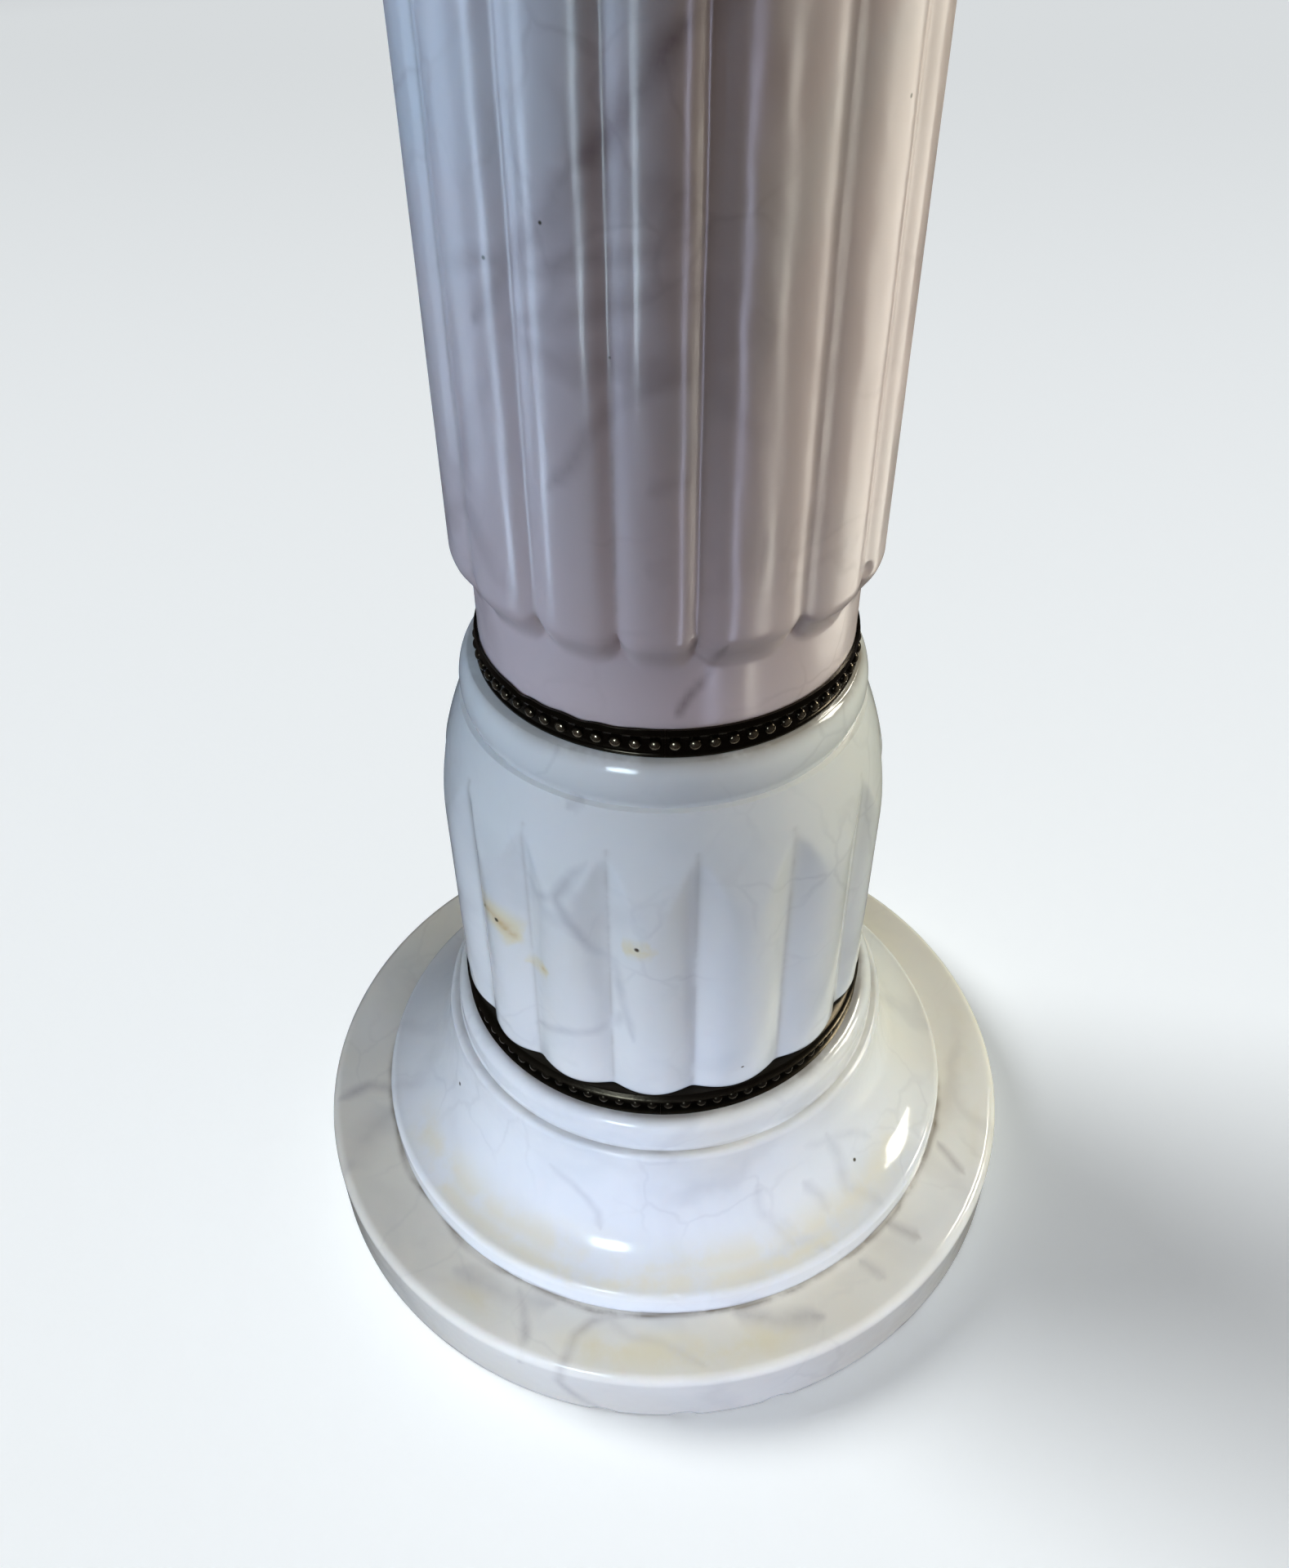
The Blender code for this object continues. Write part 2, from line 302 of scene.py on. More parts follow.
# %% Make the bell
LIP_HEIGHT = 10.5 * MM
LIP_EASING = 3.0 * MM
SHOULDER_RADIUS = 85.8 * MM
SHOULDER_EASING = 2.0 * MM
COLLAR_RADIUS = 81.5 * MM
COLLAR_HEIGHT = 12.2 * MM
COLLAR_EASING = 5.0 * MM
CREASE_WIDTH = 0.5 * MM
CREASE_RISE = 0.3 * MM
FOOT_PULL = (0.58, 0.10)
TOP_PULL = (0.06, 0.62)


def bell_outline():
    low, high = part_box("base_bell")
    lip_radius = half_width("base_bell")
    lip_top = low.z + LIP_HEIGHT
    crease = high.z - COLLAR_HEIGHT
    hollow_foot = (lip_radius - LIP_EASING, lip_top)
    hollow_top = (SHOULDER_RADIUS, crease - SHOULDER_EASING)
    width = hollow_foot[0] - hollow_top[0]
    rise = hollow_top[1] - hollow_foot[1]
    foot_pull = (hollow_foot[0] - FOOT_PULL[0] * width, hollow_foot[1] + FOOT_PULL[1] * rise)
    top_pull = (hollow_top[0] + TOP_PULL[0] * width, hollow_top[1] - TOP_PULL[1] * rise)
    outline = [(lip_radius, low.z)]
    outline += arc((lip_radius - LIP_EASING, lip_top - LIP_EASING), LIP_EASING, 0, 84, 10)
    outline += sweep(hollow_foot, foot_pull, top_pull, hollow_top)[1:]
    shoulder = (SHOULDER_RADIUS - SHOULDER_EASING, crease - SHOULDER_EASING)
    outline += arc(shoulder, SHOULDER_EASING, 15, 85, 6)
    outline.append((COLLAR_RADIUS + CREASE_WIDTH, crease - CREASE_RISE))
    outline.append((COLLAR_RADIUS, crease + CREASE_RISE))
    outline += arc((COLLAR_RADIUS - COLLAR_EASING, high.z - COLLAR_EASING), COLLAR_EASING, 0, 90, 12)
    return outline


base_bell = turned("base_bell_stone", bell_outline())
print("bell", len(base_bell.data.polygons), "faces")

# %% [markdown]
# ## Fifteen lobes, cut by hand
#
# Drum and shaft carry the same fifteen lobes, with their grooves nearly in line.
# The carver's spacing strays by a few degrees, and we keep that. For every angle
# we want its `station`: 0 on a crest and 1 in a groove. A lobe is close to a
# circular arc, so its depth grows with the square of the station, and a small
# rounding keeps the groove from ending in a knife line.

# %% Stations round a carved stone
LOBES = 15
FIRST_GROOVE = -61.1
DRUM_WANDER = (3.0, 0.7, -0.4, -2.5, -1.0, 2.5)
SHAFT_WANDER = (2.4, 3.5, 1.1, -3.6, -0.1, 0.8)


def groove_angles(wander):
    grooves = FIRST_GROOVE + np.arange(LOBES) * 360 / LOBES
    grooves[:len(wander)] += wander
    return grooves


def stations(angle, wander):
    """Signed station of each angle: -1 and 1 are the grooves to its left and right."""
    grooves = groove_angles(wander)
    edges = np.append(grooves, grooves[0] + 360)
    degrees = (np.degrees(angle) - grooves[0]) % 360 + grooves[0]
    lobe = np.clip(np.searchsorted(edges, degrees, side="right") - 1, 0, LOBES - 1)
    left = edges[lobe]
    return 2 * (degrees - left) / (edges[lobe + 1] - left) - 1


def lobe_depth(station, softness, fullness=2.0):
    """0 on the crest and nearly 1 in the groove, rounded there over the softness."""
    from_groove = 1 - np.abs(station)
    eased = np.sqrt(from_groove ** 2 + softness ** 2)
    return (1 - np.minimum(eased, 1)) ** fullness


def softly_lower(first, second, blend):
    """The lower of two surfaces, with their meeting line rounded."""
    half = np.clip(0.5 + (second - first) / (2 * blend), 0, 1)
    return second * (1 - half) + first * half - blend * half * (1 - half)


print("grooves seen from the front:", groove_angles(SHAFT_WANDER)[:6].round(1))

# %% [markdown]
# ## The lobed drum
#
# The drum was turned first: straight side, parabolic shoulder and a soft torus
# on top. Then the grooves were cut, so at every point the surface is the lower
# of the turned outline and the lobe. Where the two meet, the groove ends in an
# arch without any work from us. The grooves grow softer as they rise, as the
# carver's gouge ran out, and a power of the softness keeps them equally deep.

# %% Make the lobed drum
DRUM_OFF_AXIS = -1.0 * MM
DRUM_RADIUS = 76.0 * MM
DRUM_FOOT_RADIUS = 75.6 * MM
DRUM_FOOT_EASING = 3.5 * MM
DRUM_FOOT_INSET = 1.4 * MM
DRUM_GROOVE_AT_FOOT = 3.8 * MM
DRUM_GROOVE_AT_TOP = 5.2 * MM
DRUM_SHOULDER_HEIGHT = 45.0 * MM
DRUM_SHOULDER_DROP = 9.6 * MM
TORUS_HEIGHT = 15.8 * MM
TORUS_RADIUS = 65.8 * MM
TORUS_BULGE = 5.0 * MM
TORUS_TURNS = (-40, 72)
SPIGOT_RADIUS = 70.2 * MM
GROOVE_BLEND = 0.5 * MM
GROOVE_SOFTNESS = (0.10, 0.36)
SOFTENS_BETWEEN = (0.35, 0.75)
DEPTH_KEPT = 1.6
ARCH_RISE = 22 * MM
RING_GAP = 0.3 * MM
TORUS_GAP = 0.4 * MM
TORUS_STEPS = 26
SHOULDER_STEPS = 40
DRUM_SPACING = 1.7 * MM


def torus_outline(foot, top):
    first, last = (math.radians(turn) for turn in TORUS_TURNS)
    half_height = (top - foot) / (math.sin(last) - math.sin(first))
    middle = top - half_height * math.sin(last)
    outline = []
    for turn in np.linspace(first, last, TORUS_STEPS):
        radius = TORUS_RADIUS - TORUS_BULGE * (1 - math.cos(turn))
        outline.append((radius, middle + half_height * math.sin(turn)))
    return outline


def drum_foot():
    """Where the lobes begin, just above the brass ring."""
    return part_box("foot_beaded_ring")[1].z + RING_GAP


def drum_outline():
    """Half outline as turned, from the spigot inside the brass ring up."""
    low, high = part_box("lobed_drum")
    foot = drum_foot()
    inset_radius = DRUM_FOOT_RADIUS - DRUM_FOOT_INSET
    shoulder = high.z - TORUS_HEIGHT - DRUM_SHOULDER_HEIGHT
    outline = [(SPIGOT_RADIUS, low.z), (SPIGOT_RADIUS, foot), (inset_radius, foot)]
    for turn in np.radians(np.linspace(10, 90, 8)):
        radius = DRUM_FOOT_RADIUS - DRUM_FOOT_INSET * (1 - math.sin(turn))
        outline.append((radius, foot + DRUM_FOOT_EASING * (1 - math.cos(turn))))
    for share in np.linspace(0, 1, SHOULDER_STEPS):
        radius = DRUM_RADIUS - DRUM_SHOULDER_DROP * share ** 2
        outline.append((radius, shoulder + DRUM_SHOULDER_HEIGHT * share))
    return outline + torus_outline(high.z - TORUS_HEIGHT + TORUS_GAP, high.z)


def carve_drum():
    turned_radius, angle, height = grid(evenly(drum_outline(), DRUM_SPACING))
    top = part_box("lobed_drum")[1].z
    foot = drum_foot()
    rise = np.clip((height - foot) / (top - foot), 0, 1)
    softness = np.interp(rise, SOFTENS_BETWEEN, GROOVE_SOFTNESS)
    depth = lobe_depth(stations(around(), DRUM_WANDER), softness) / (1 - softness) ** DEPTH_KEPT
    groove = DRUM_GROOVE_AT_FOOT + rise * (DRUM_GROOVE_AT_TOP - DRUM_GROOVE_AT_FOOT)
    lobe = DRUM_RADIUS - groove * depth
    into_shoulder = np.clip((height - top + TORUS_HEIGHT + DRUM_SHOULDER_HEIGHT) / ARCH_RISE, 0, 1)
    radius = softly_lower(turned_radius + GROOVE_BLEND * (1 - into_shoulder), lobe, GROOVE_BLEND)
    at_foot = np.clip(1 - (height - foot) / (3 * DRUM_FOOT_EASING), 0, 1) * (height >= foot)
    radius = np.where(at_foot > 0, np.minimum(radius, turned_radius - groove * depth * at_foot), radius)
    radius = np.where(height < foot - HAIR, turned_radius, radius)
    drum = skin("lobed_drum_stone", radius, angle, height)
    drum.data.transform(Matrix.Translation((DRUM_OFF_AXIS, 0, 0)))
    return drum


lobed_drum = carve_drum()
print("drum", len(lobed_drum.data.polygons), "faces")

# %% [markdown]
# ## The reeded shaft
#
# Each reed of the shaft ends in a tongue with round corners on a plain neck. The
# neck swells to the full reed over a short S curve, and the S starts a little
# later near the grooves, which is what rounds the corners. The same rule turned
# upside down ends the reeds under the capital.

# %% Make the shaft
NECK_RADIUS = 59.2 * MM
SHAFT_GROOVE = 2.6 * MM
SHAFT_SOFTNESS = 0.11
SHAFT_FULLNESS = 2.5
PLAIN_NECK = 28.7 * MM
REED_END = 14.2 * MM
TONGUE_RISE = 6.0 * MM
SHAFT_BLEND = 1.2 * MM
SHAFT_COLUMNS = 480
NEAR_TOP = 0.46
NECK_ROWS = 10
REED_END_ROWS = 42
NEAR_ROWS = 72
FAR_ROWS = 16


def shaft_heights():
    """Row heights: close together at both reed ends and as far up as the eye comes near."""
    low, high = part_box("reeded_shaft")
    fine = PLAIN_NECK + TONGUE_RISE + REED_END + 2 * MM
    foot = np.linspace(low.z + PLAIN_NECK - 1 * MM, low.z + fine, REED_END_ROWS)
    near = np.linspace(foot[-1], NEAR_TOP, NEAR_ROWS)[1:]
    far = np.linspace(NEAR_TOP, high.z - fine, FAR_ROWS)[1:-1]
    top = np.linspace(high.z - fine, high.z - PLAIN_NECK + 1 * MM, REED_END_ROWS)
    low_neck = np.linspace(low.z, foot[0], NECK_ROWS)[:-1]
    high_neck = np.linspace(top[-1], high.z, NECK_ROWS)[1:]
    return np.concatenate([low_neck, foot, near, far, top, high_neck])


def hand_cut(angle, height):
    """The faint unevenness that a hand-held abrasive leaves, in metres."""
    slow = np.sin(3 * angle + 19 * height) + np.sin(7 * angle - 31 * height + 1.3)
    quick = np.sin(29 * angle + 83 * height) * np.sin(61 * height + 5 * angle)
    return 0.05 * MM * slow + 0.035 * MM * quick


def carve_shaft():
    low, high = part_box("reeded_shaft")
    crest = half_width("reeded_shaft")
    rows = shaft_heights()
    angle = np.broadcast_to(around(SHAFT_COLUMNS), (len(rows), SHAFT_COLUMNS))
    height = np.repeat(rows[:, None], SHAFT_COLUMNS, axis=1)
    station = stations(around(SHAFT_COLUMNS), SHAFT_WANDER)
    start = PLAIN_NECK + TONGUE_RISE * station ** 4
    from_end = np.minimum(height - low.z, high.z - height)
    share = np.clip((from_end - start) / REED_END, 0, 1)
    swell = NECK_RADIUS + (crest - NECK_RADIUS) * share * share * (3 - 2 * share)
    reed = crest - SHAFT_GROOVE * lobe_depth(station, SHAFT_SOFTNESS, SHAFT_FULLNESS)
    radius = softly_lower(swell, np.broadcast_to(reed, swell.shape), SHAFT_BLEND)
    radius = np.where(share > 0, radius, np.minimum(swell, radius + SHAFT_BLEND))
    radius = np.minimum(radius + share * hand_cut(angle, height), crest)
    return skin("reeded_shaft_stone", radius, angle, height)


reeded_shaft = carve_shaft()
print("shaft", len(reeded_shaft.data.polygons), "faces")

# %% [markdown]
# ## The capital and the top disc
#
# The photograph ends below them, so they follow the base, only plainer: a flared
# bell the other way up and a disc with eased edges. Their rows lie wider apart,
# because they carry no painted marks.

# %% Make the capital and the top disc
CAPITAL_FOOT_RADIUS = 66.5 * MM
CAPITAL_BAND = 11.0 * MM
CAPITAL_LIP = 9.0 * MM
CAPITAL_EASING = 2.5 * MM
TOP_EASING = 4.5 * MM
FAR_SPACING = 2.4 * MM


def capital_outline():
    low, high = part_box("capital")
    lip_radius = half_width("capital")
    band_top = low.z + CAPITAL_BAND
    lip_foot = high.z - CAPITAL_LIP
    flare_foot = (CAPITAL_FOOT_RADIUS - CAPITAL_EASING, band_top)
    width = lip_radius - flare_foot[0]
    rise = lip_foot - band_top
    inner = CAPITAL_FOOT_RADIUS - CAPITAL_EASING
    outline = arc((inner, low.z + CAPITAL_EASING), CAPITAL_EASING, -90, 0, 8)
    outline += arc((inner, band_top - CAPITAL_EASING), CAPITAL_EASING, 0, 85, 8)
    outline += sweep(flare_foot, (flare_foot[0] + 0.02 * width, band_top + 0.45 * rise),
                     (lip_radius - 0.62 * width, lip_foot - 0.10 * rise), (lip_radius, lip_foot))
    lip_centre = (lip_radius - CAPITAL_EASING, high.z - CAPITAL_EASING)
    return outline + arc(lip_centre, CAPITAL_EASING, 0, 90, 8)


capital = turned("capital_stone", capital_outline(), FAR_SPACING)
top_disc = turned("top_disc_stone", disc_outline("top_disc", TOP_EASING, TOP_EASING), FAR_SPACING)
print("capital and top disc", len(capital.data.polygons) + len(top_disc.data.polygons), "faces")

# %% [markdown]
# ## Beaded brass strip
#
# Jewellers and lamp makers buy such strip by the metre: a thin brass band with a
# flat upper flange, a row of round beads in a channel and a fine lower fillet. It
# is bent round the neck and its ends meet at the front. We sweep the section
# once round, leave a hair of a gap at the joint, and press the beads on as small
# flattened balls. The upper flange is dented here and there, as the real one is.

# %% Make the beaded rings
STRIP_SECTION = (
    (0.0, 0.0), (1.0, 0.0), (1.25, 0.06), (1.05, 0.13), (0.55, 0.16), (0.50, 0.30), (0.50, 0.60),
    (0.55, 0.72), (0.70, 0.74), (1.15, 0.76), (1.30, 0.80), (1.10, 0.85), (1.02, 0.97), (0.9, 1.0),
    (0.0, 1.0),
)
STRIP_STEPS = 540
STRIP_STAND = 1.0 * MM
FLANGE_FOOT = 0.7
STRIP_JOINT = -0.4
JOINT_GAP = 0.02
BEAD_PITCH = 5.88 * MM
BEAD_RADIUS = 1.95 * MM
BEAD_DEPTH = 1.35 * MM
BEAD_LEVEL = 0.45
BEAD_SEAT = 1.06
BEAD_VARIES = 0.06
BEAD_RINGS = 7
BEAD_SIDES = 14


def flange_dents(degrees, dents):
    """How far the upper edge is pushed down at each angle."""
    drop = np.zeros_like(degrees)
    for place, width, depth in dents:
        drop += depth * np.exp(-((degrees - place) / width) ** 2)
    return drop


def strip_band(inner, outer, low, high, dents):
    """Points and faces of the bent strip, open at its joint and capped there."""
    degrees = np.linspace(STRIP_JOINT + JOINT_GAP / 2, STRIP_JOINT + 360 - JOINT_GAP / 2, STRIP_STEPS)
    signed = (degrees + 180) % 360 - 180
    drop = flange_dents(signed, dents)
    points = []
    for turn, down in zip(np.radians(degrees), drop):
        for out, up in STRIP_SECTION:
            radius = inner + out * (outer - inner)
            height = low + up * (high - low) - down * max(0, up - FLANGE_FOOT) / (1 - FLANGE_FOOT)
            points.append((radius * math.sin(turn), -radius * math.cos(turn), height))
    size = len(STRIP_SECTION)
    faces = []
    for here in range(STRIP_STEPS - 1):
        for side in range(size):
            after = (side + 1) % size
            faces.append((here * size + side, here * size + size + side,
                          here * size + size + after, here * size + after))
    faces.append(tuple(range(size)))
    last = (STRIP_STEPS - 1) * size
    faces.append(tuple(last + side for side in reversed(range(size))))
    return points, faces


def bead(centre_angle, radius, height, size, first):
    """A flattened ball on the strip, numbered from the first free point."""
    outwards = np.array([math.sin(centre_angle), -math.cos(centre_angle), 0])
    along = np.array([math.cos(centre_angle), math.sin(centre_angle), 0])
    up = np.array([0, 0, 1.0])
    middle = outwards * radius + up * height
    points = [middle + outwards * BEAD_DEPTH * size]
    for ring in range(1, BEAD_RINGS):
        fall = math.pi * ring / BEAD_RINGS
        for side in range(BEAD_SIDES):
            turn = 2 * math.pi * side / BEAD_SIDES
            across = BEAD_RADIUS * size * math.sin(fall)
            points.append(middle + outwards * BEAD_DEPTH * size * math.cos(fall)
                          + along * across * math.cos(turn) + up * across * math.sin(turn))
    points.append(middle - outwards * BEAD_DEPTH * size)
    faces = []
    for side in range(BEAD_SIDES):
        after = (side + 1) % BEAD_SIDES
        faces.append((first, first + 1 + side, first + 1 + after))
        for ring in range(BEAD_RINGS - 2):
            low = first + 1 + ring * BEAD_SIDES
            high = low + BEAD_SIDES
            faces.append((low + side, high + side, high + after, low + after))
        last_ring = first + 1 + (BEAD_RINGS - 2) * BEAD_SIDES
        faces.append((last_ring + side, first + len(points) - 1, last_ring + after))
    return points, faces


def beaded_ring(node, inner, dents):
    low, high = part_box(node)
    centre_x = (low.x + high.x) / 2
    reach = half_width(node)
    points, faces = strip_band(inner, reach - STRIP_STAND, low.z, high.z, dents)
    beads = round(2 * math.pi * reach / BEAD_PITCH)
    middle = low.z + BEAD_LEVEL * (high.z - low.z)
    for index in range(beads):
        angle = math.radians(STRIP_JOINT) + 2 * math.pi * (index + 0.5) / beads
        size = 1 + BEAD_VARIES * math.sin(index * 2.4) * math.sin(index * 0.9 + 1)
        seat = reach - BEAD_DEPTH * BEAD_SEAT
        new_points, new_faces = bead(angle, seat, middle, size, len(points))
        points.extend(new_points)
        faces.extend(new_faces)
    ring = add_piece(node.replace("ring", "strip"), points, faces)
    ring.data.transform(Matrix.Translation((centre_x, 0, 0)))
    print(node, beads, "beads", len(faces), "faces")
    return ring


NECK_DENTS = ((-45, 3.0, 0.9 * MM), (-36, 4.0, 0.5 * MM), (-24, 3.5, 0.8 * MM), (-14, 4.0, 0.4 * MM),
              (118, 6.0, 0.6 * MM))
FOOT_DENTS = ((-30, 4.0, 0.4 * MM), (22, 5.0, 0.3 * MM))
RING_PLAY = 0.3 * MM
foot_strip = beaded_ring("foot_beaded_ring", SPIGOT_RADIUS + RING_PLAY, FOOT_DENTS)
neck_strip = beaded_ring("neck_beaded_ring", NECK_RADIUS + RING_PLAY, NECK_DENTS)
capital_strip = beaded_ring("capital_beaded_ring", NECK_RADIUS + RING_PLAY, ())

# %% [markdown]
# ## A small kit for node materials
#
# Materials here are built from code, so a few short helpers keep the recipes
# readable. `fill` sets the inputs of a node, with a number where a value will do
# and a link where another node feeds it. `add` makes a node and fills it.

# %% Node helpers
def fill(tree, node, inputs):
    for name, value in inputs.items():
        if isinstance(value, bpy.types.NodeSocket):
            tree.links.new(value, node.inputs[name])
        else:
            node.inputs[name].default_value = value


def add(tree, kind, inputs=None, **settings):
    node = tree.nodes.new("ShaderNode" + kind)
    for name, value in settings.items():
        setattr(node, name, value)
    fill(tree, node, inputs or {})
    return node


def calc(tree, operation, first, second=0.0):
    return add(tree, "Math", {0: first, 1: second}, operation=operation).outputs[0]


def vector(tree, operation, first, second):
    return add(tree, "VectorMath", {0: first, 1: second}, operation=operation).outputs[0]


def distance(tree, first, second):
    return add(tree, "VectorMath", {0: first, 1: second}, operation="DISTANCE").outputs["Value"]


def fade(tree, value, low, high, start=0.0, end=1.0):
    """Smoothly from start to end while the value goes from low to high."""
    inputs = {"Value": value, "From Min": low, "From Max": high, "To Min": start, "To Max": end}
    return add(tree, "MapRange", inputs, interpolation_type="SMOOTHSTEP").outputs["Result"]


def tint(tree, factor, first, second):
    """The first colour turning to the second as the factor goes from 0 to 1."""
    return add(tree, "Mix", {0: factor, 6: first, 7: second}, data_type="RGBA").outputs[2]


def noise(tree, place, scale, detail=4.0, roughness=0.5, distortion=0.0):
    inputs = {"Vector": place, "Scale": scale, "Detail": detail, "Roughness": roughness}
    return add(tree, "TexNoise", {**inputs, "Distortion": distortion}).outputs["Fac"]


# %% [markdown]
# ## Marks painted on the points
#
# Some marks have a place of their own: the strong veins, the rust stains, the dirt
# and painted shade in the creases. An artist would paint them in Texture Paint. We
# paint them from code instead: every point of the mesh gets a number that says how
# much of the mark it carries, and the material reads that number as an attribute. A
# stroke is a line of places on the stone, each given as radius, degrees from the
# front and height in millimetres, as one would measure them with a tape. It thins at
# its ends.

# %% Paint helpers
FAR_OFF = 9.0
END_THIN = 0.35
END_WIDENS = 6
HOOP_FADE = 9
SEEN = 0.02


def measured(points):
    """Radius, degrees from the front and height of every point."""
    x, y, z = points.T
    return np.hypot(x, y), np.degrees(np.arctan2(x, -y)), z


def wander(points, amount, scale=60.0, seed=0.0):
    """The points pushed about a little, so that painted lines don't run dead straight."""
    pushed = points.copy()
    for axis in range(3):
        pushed[:, axis] += amount * ripple(points, scale, seed + 2.1 * axis)
        pushed[:, axis] += 0.3 * amount * ripple(points, scale * 3.3, seed + 5.3 * axis)
    return pushed


def stroke(points, path, width):
    """1 on a line of places, fading to 0 at the given distance from it."""
    places = np.array([on_column(r * MM, degrees, z * MM) for r, degrees, z in path])
    nearest = np.full(len(points), FAR_OFF)
    position = np.zeros(len(points))
    steps = len(places) - 1
    for step in range(steps):
        along = places[step + 1] - places[step]
        share = np.clip((points - places[step]) @ along / (along @ along), 0, 1)
        gap = np.linalg.norm(points - places[step] - share[:, None] * along, axis=1)
        position = np.where(gap < nearest, (step + share) / steps, position)
        nearest = np.minimum(nearest, gap)
    taper = np.clip(np.minimum(position, 1 - position) * END_WIDENS + END_THIN, 0, 1)
    return np.clip(1 - nearest / (width * MM * taper), 0, 1) ** 1.2


def hoop(points, radius, height, width, first=-180, last=180):
    """1 on a circle round the column, between two angles, fading with distance."""
    out, degrees, up = measured(points)
    gap = np.hypot(out - radius, up - height)
    inside = np.clip((degrees - first) / HOOP_FADE, 0, 1) * np.clip((last - degrees) / HOOP_FADE, 0, 1)
    if last - first >= 360:
        inside = 1
    return np.clip(1 - gap / width, 0, 1) * inside


def paint(piece, attribute, masks):
    """Store the strongest of the masks as a number on every point."""
    values = np.zeros(len(piece.data.vertices))
    for mask, strength in masks:
        values = np.maximum(values, mask * strength)
    layer = piece.data.attributes.new(attribute, "FLOAT", "POINT")
    layer.data.foreach_set("value", values.astype(np.float32))
    print(piece.name, attribute, "on", int((values > SEEN).sum()), "points")


# %% [markdown]
# ## Strong veins
#
# A strong vein is a healed crack that the stone carries through its whole block.
# The shaft has one broad brown vein that climbs to the right and several faint
# ones; the drum has a loop near its foot; disc and bell have branching ones.
# Each row holds a path, a width in millimetres and a strength.

# %% Paint the veins
SHAFT_VEINS = (
    (((65.2, 3.0, 427), (65.2, -2.7, 419.8), (64.7, -7, 413.6), (63, -12.4, 406), (64.8, -18.3, 400.8)),
     4.5, 0.9),
    (((64.8, -18.3, 400.8), (65.1, -24.2, 390.5), (63.3, -32.1, 380.8), (65.1, -44.4, 363.5)), 4.5, 0.6),
    (((65.2, 3.0, 427), (65.2, 12, 436), (65, 24, 446)), 6.0, 0.35),
    (((62.9, -59.2, 372), (64.5, -39.8, 379.3), (63.8, -30.5, 378.8), (64.7, -18.1, 382.4),
      (64.6, -7.5, 384.5), (64.3, 3.7, 386.8)), 3.2, 0.45),
    (((63.4, -31.7, 366.5), (64, -15.4, 372), (65.2, -4.4, 375.6), (63.3, 6.1, 374.9)), 4.0, 0.4),
    (((65.2, -4.2, 398.8), (63, 7.8, 396)), 3.5, 0.3),
    (((64.8, -26.8, 328), (65.1, -21.1, 333.9), (64.6, -17.3, 342.7), (63, -11.6, 350), (65.2, -4.5, 354.9),
      (64.1, 4.1, 357)), 3.0, 0.5),
    (((65.1, -4.7, 328.9), (63.9, 4.4, 332.7)), 3.0, 0.3),
    (((64.2, 14.2, 283.2), (59.2, 10.1, 269.6), (59.2, 5.8, 264.5), (59.2, 2.4, 257)), 2.0, 0.8),
)
DRUM_VEINS = (
    (((72.9, -19.4, 209.5), (74.4, -22.9, 203.1), (75.8, -26.5, 194.2), (76.2, -23.8, 184.6),
      (75.1, -18.8, 174.1), (73.4, -13.7, 169.4), (74.1, -12, 156.1), (75, -9.5, 140.9),
      (75.4, -8.1, 132.4)), 2.6, 0.6),
    (((73.6, -37.6, 120.9), (76.1, -27.3, 128.8), (75.1, -18.9, 132.3), (73.5, -13.3, 137.8),
      (74.8, -10.1, 148.6)), 2.4, 0.6),
    (((68, -25.6, 225), (65.2, -22.5, 228.5)), 3.0, 0.5),
    (((75.6, -26.5, 194), (75.2, -33, 190), (74.5, -37, 196)), 2.4, 0.35),
)
BELL_VEINS = (
    (((87.9, -28.3, 63.5), (88.9, -22.3, 59.9), (93, -15.1, 50.6), (96, -13.7, 46.5)), 2.0, 0.7),
    (((89.5, 22.1, 58.2), (94.4, 22.2, 48.6), (101.2, 24.6, 41.8), (107, 26.9, 38.6)), 3.2, 0.7),
    (((92.6, 34.2, 51.4), (97.7, 37, 44.8), (102.9, 36.5, 40.8)), 3.0, 0.7),
    (((87.9, 43, 63.3), (93.6, 44.8, 49.8), (100.7, 43.6, 42.2), (107.4, 46.4, 38.5), (113, 47.3, 36)),
     3.6, 0.8),
    (((98.1, 25.5, 44.4), (106, 28, 39.5), (112, 33, 37)), 2.6, 0.6),
    (((86, 36, 66), (88, 40, 62), (92, 52, 53), (97, 56, 46)), 2.6, 0.5),
)
DISC_VEINS = (
    (((118, -27, 26.1), (124.8, -23.9, 26.1), (133.1, -21.6, 26.1), (140.2, -21.1, 21)), 2.6, 0.8),
    (((116, -6, 26.1), (120.1, -12.3, 26.1), (126.2, -14.4, 26.1), (134.3, -14.6, 26.1),
      (139.8, -14.9, 24.2), (140.2, -15.4, 15.9), (140.2, -11.6, 5), (140.2, -9.1, 0.9)), 2.6, 0.9),
    (((124.3, -38, 26.1), (123.3, -27.7, 26.1), (118, -20, 26.1)), 6.0, 0.5),
    (((118, -10, 26.1), (124.3, -6, 26.1), (126.6, -0.2, 26.1), (135.2, 6.2, 26.1)), 2.6, 0.55),
    (((117, 13, 26.1), (124, 19, 26.1), (130, 26, 26.1)), 5.0, 0.9),
    (((119.2, 38.2, 26.1), (129.9, 39.4, 26.1)), 2.8, 0.6),
    (((116.4, 46.9, 26.1), (129.2, 48.9, 26.1)), 3.4, 0.7),
    (((118.6, 68.6, 26.1), (131.7, 64.3, 26.1)), 2.4, 0.7),
    (((138, -80, 26.1), (125, -82.5, 26.1), (114, -81, 26.1)), 3.4, 0.8),
    (((139, -66, 26.1), (126, -72, 26.1), (115, -76, 26.1)), 9.0, 0.45),
)
VEINS = ((reeded_shaft, SHAFT_VEINS, 1.2), (lobed_drum, DRUM_VEINS, 1.1), (base_bell, BELL_VEINS, 0.55),
         (base_disc, DISC_VEINS, 1.0))
VEIN_WANDER = 1.1 * MM
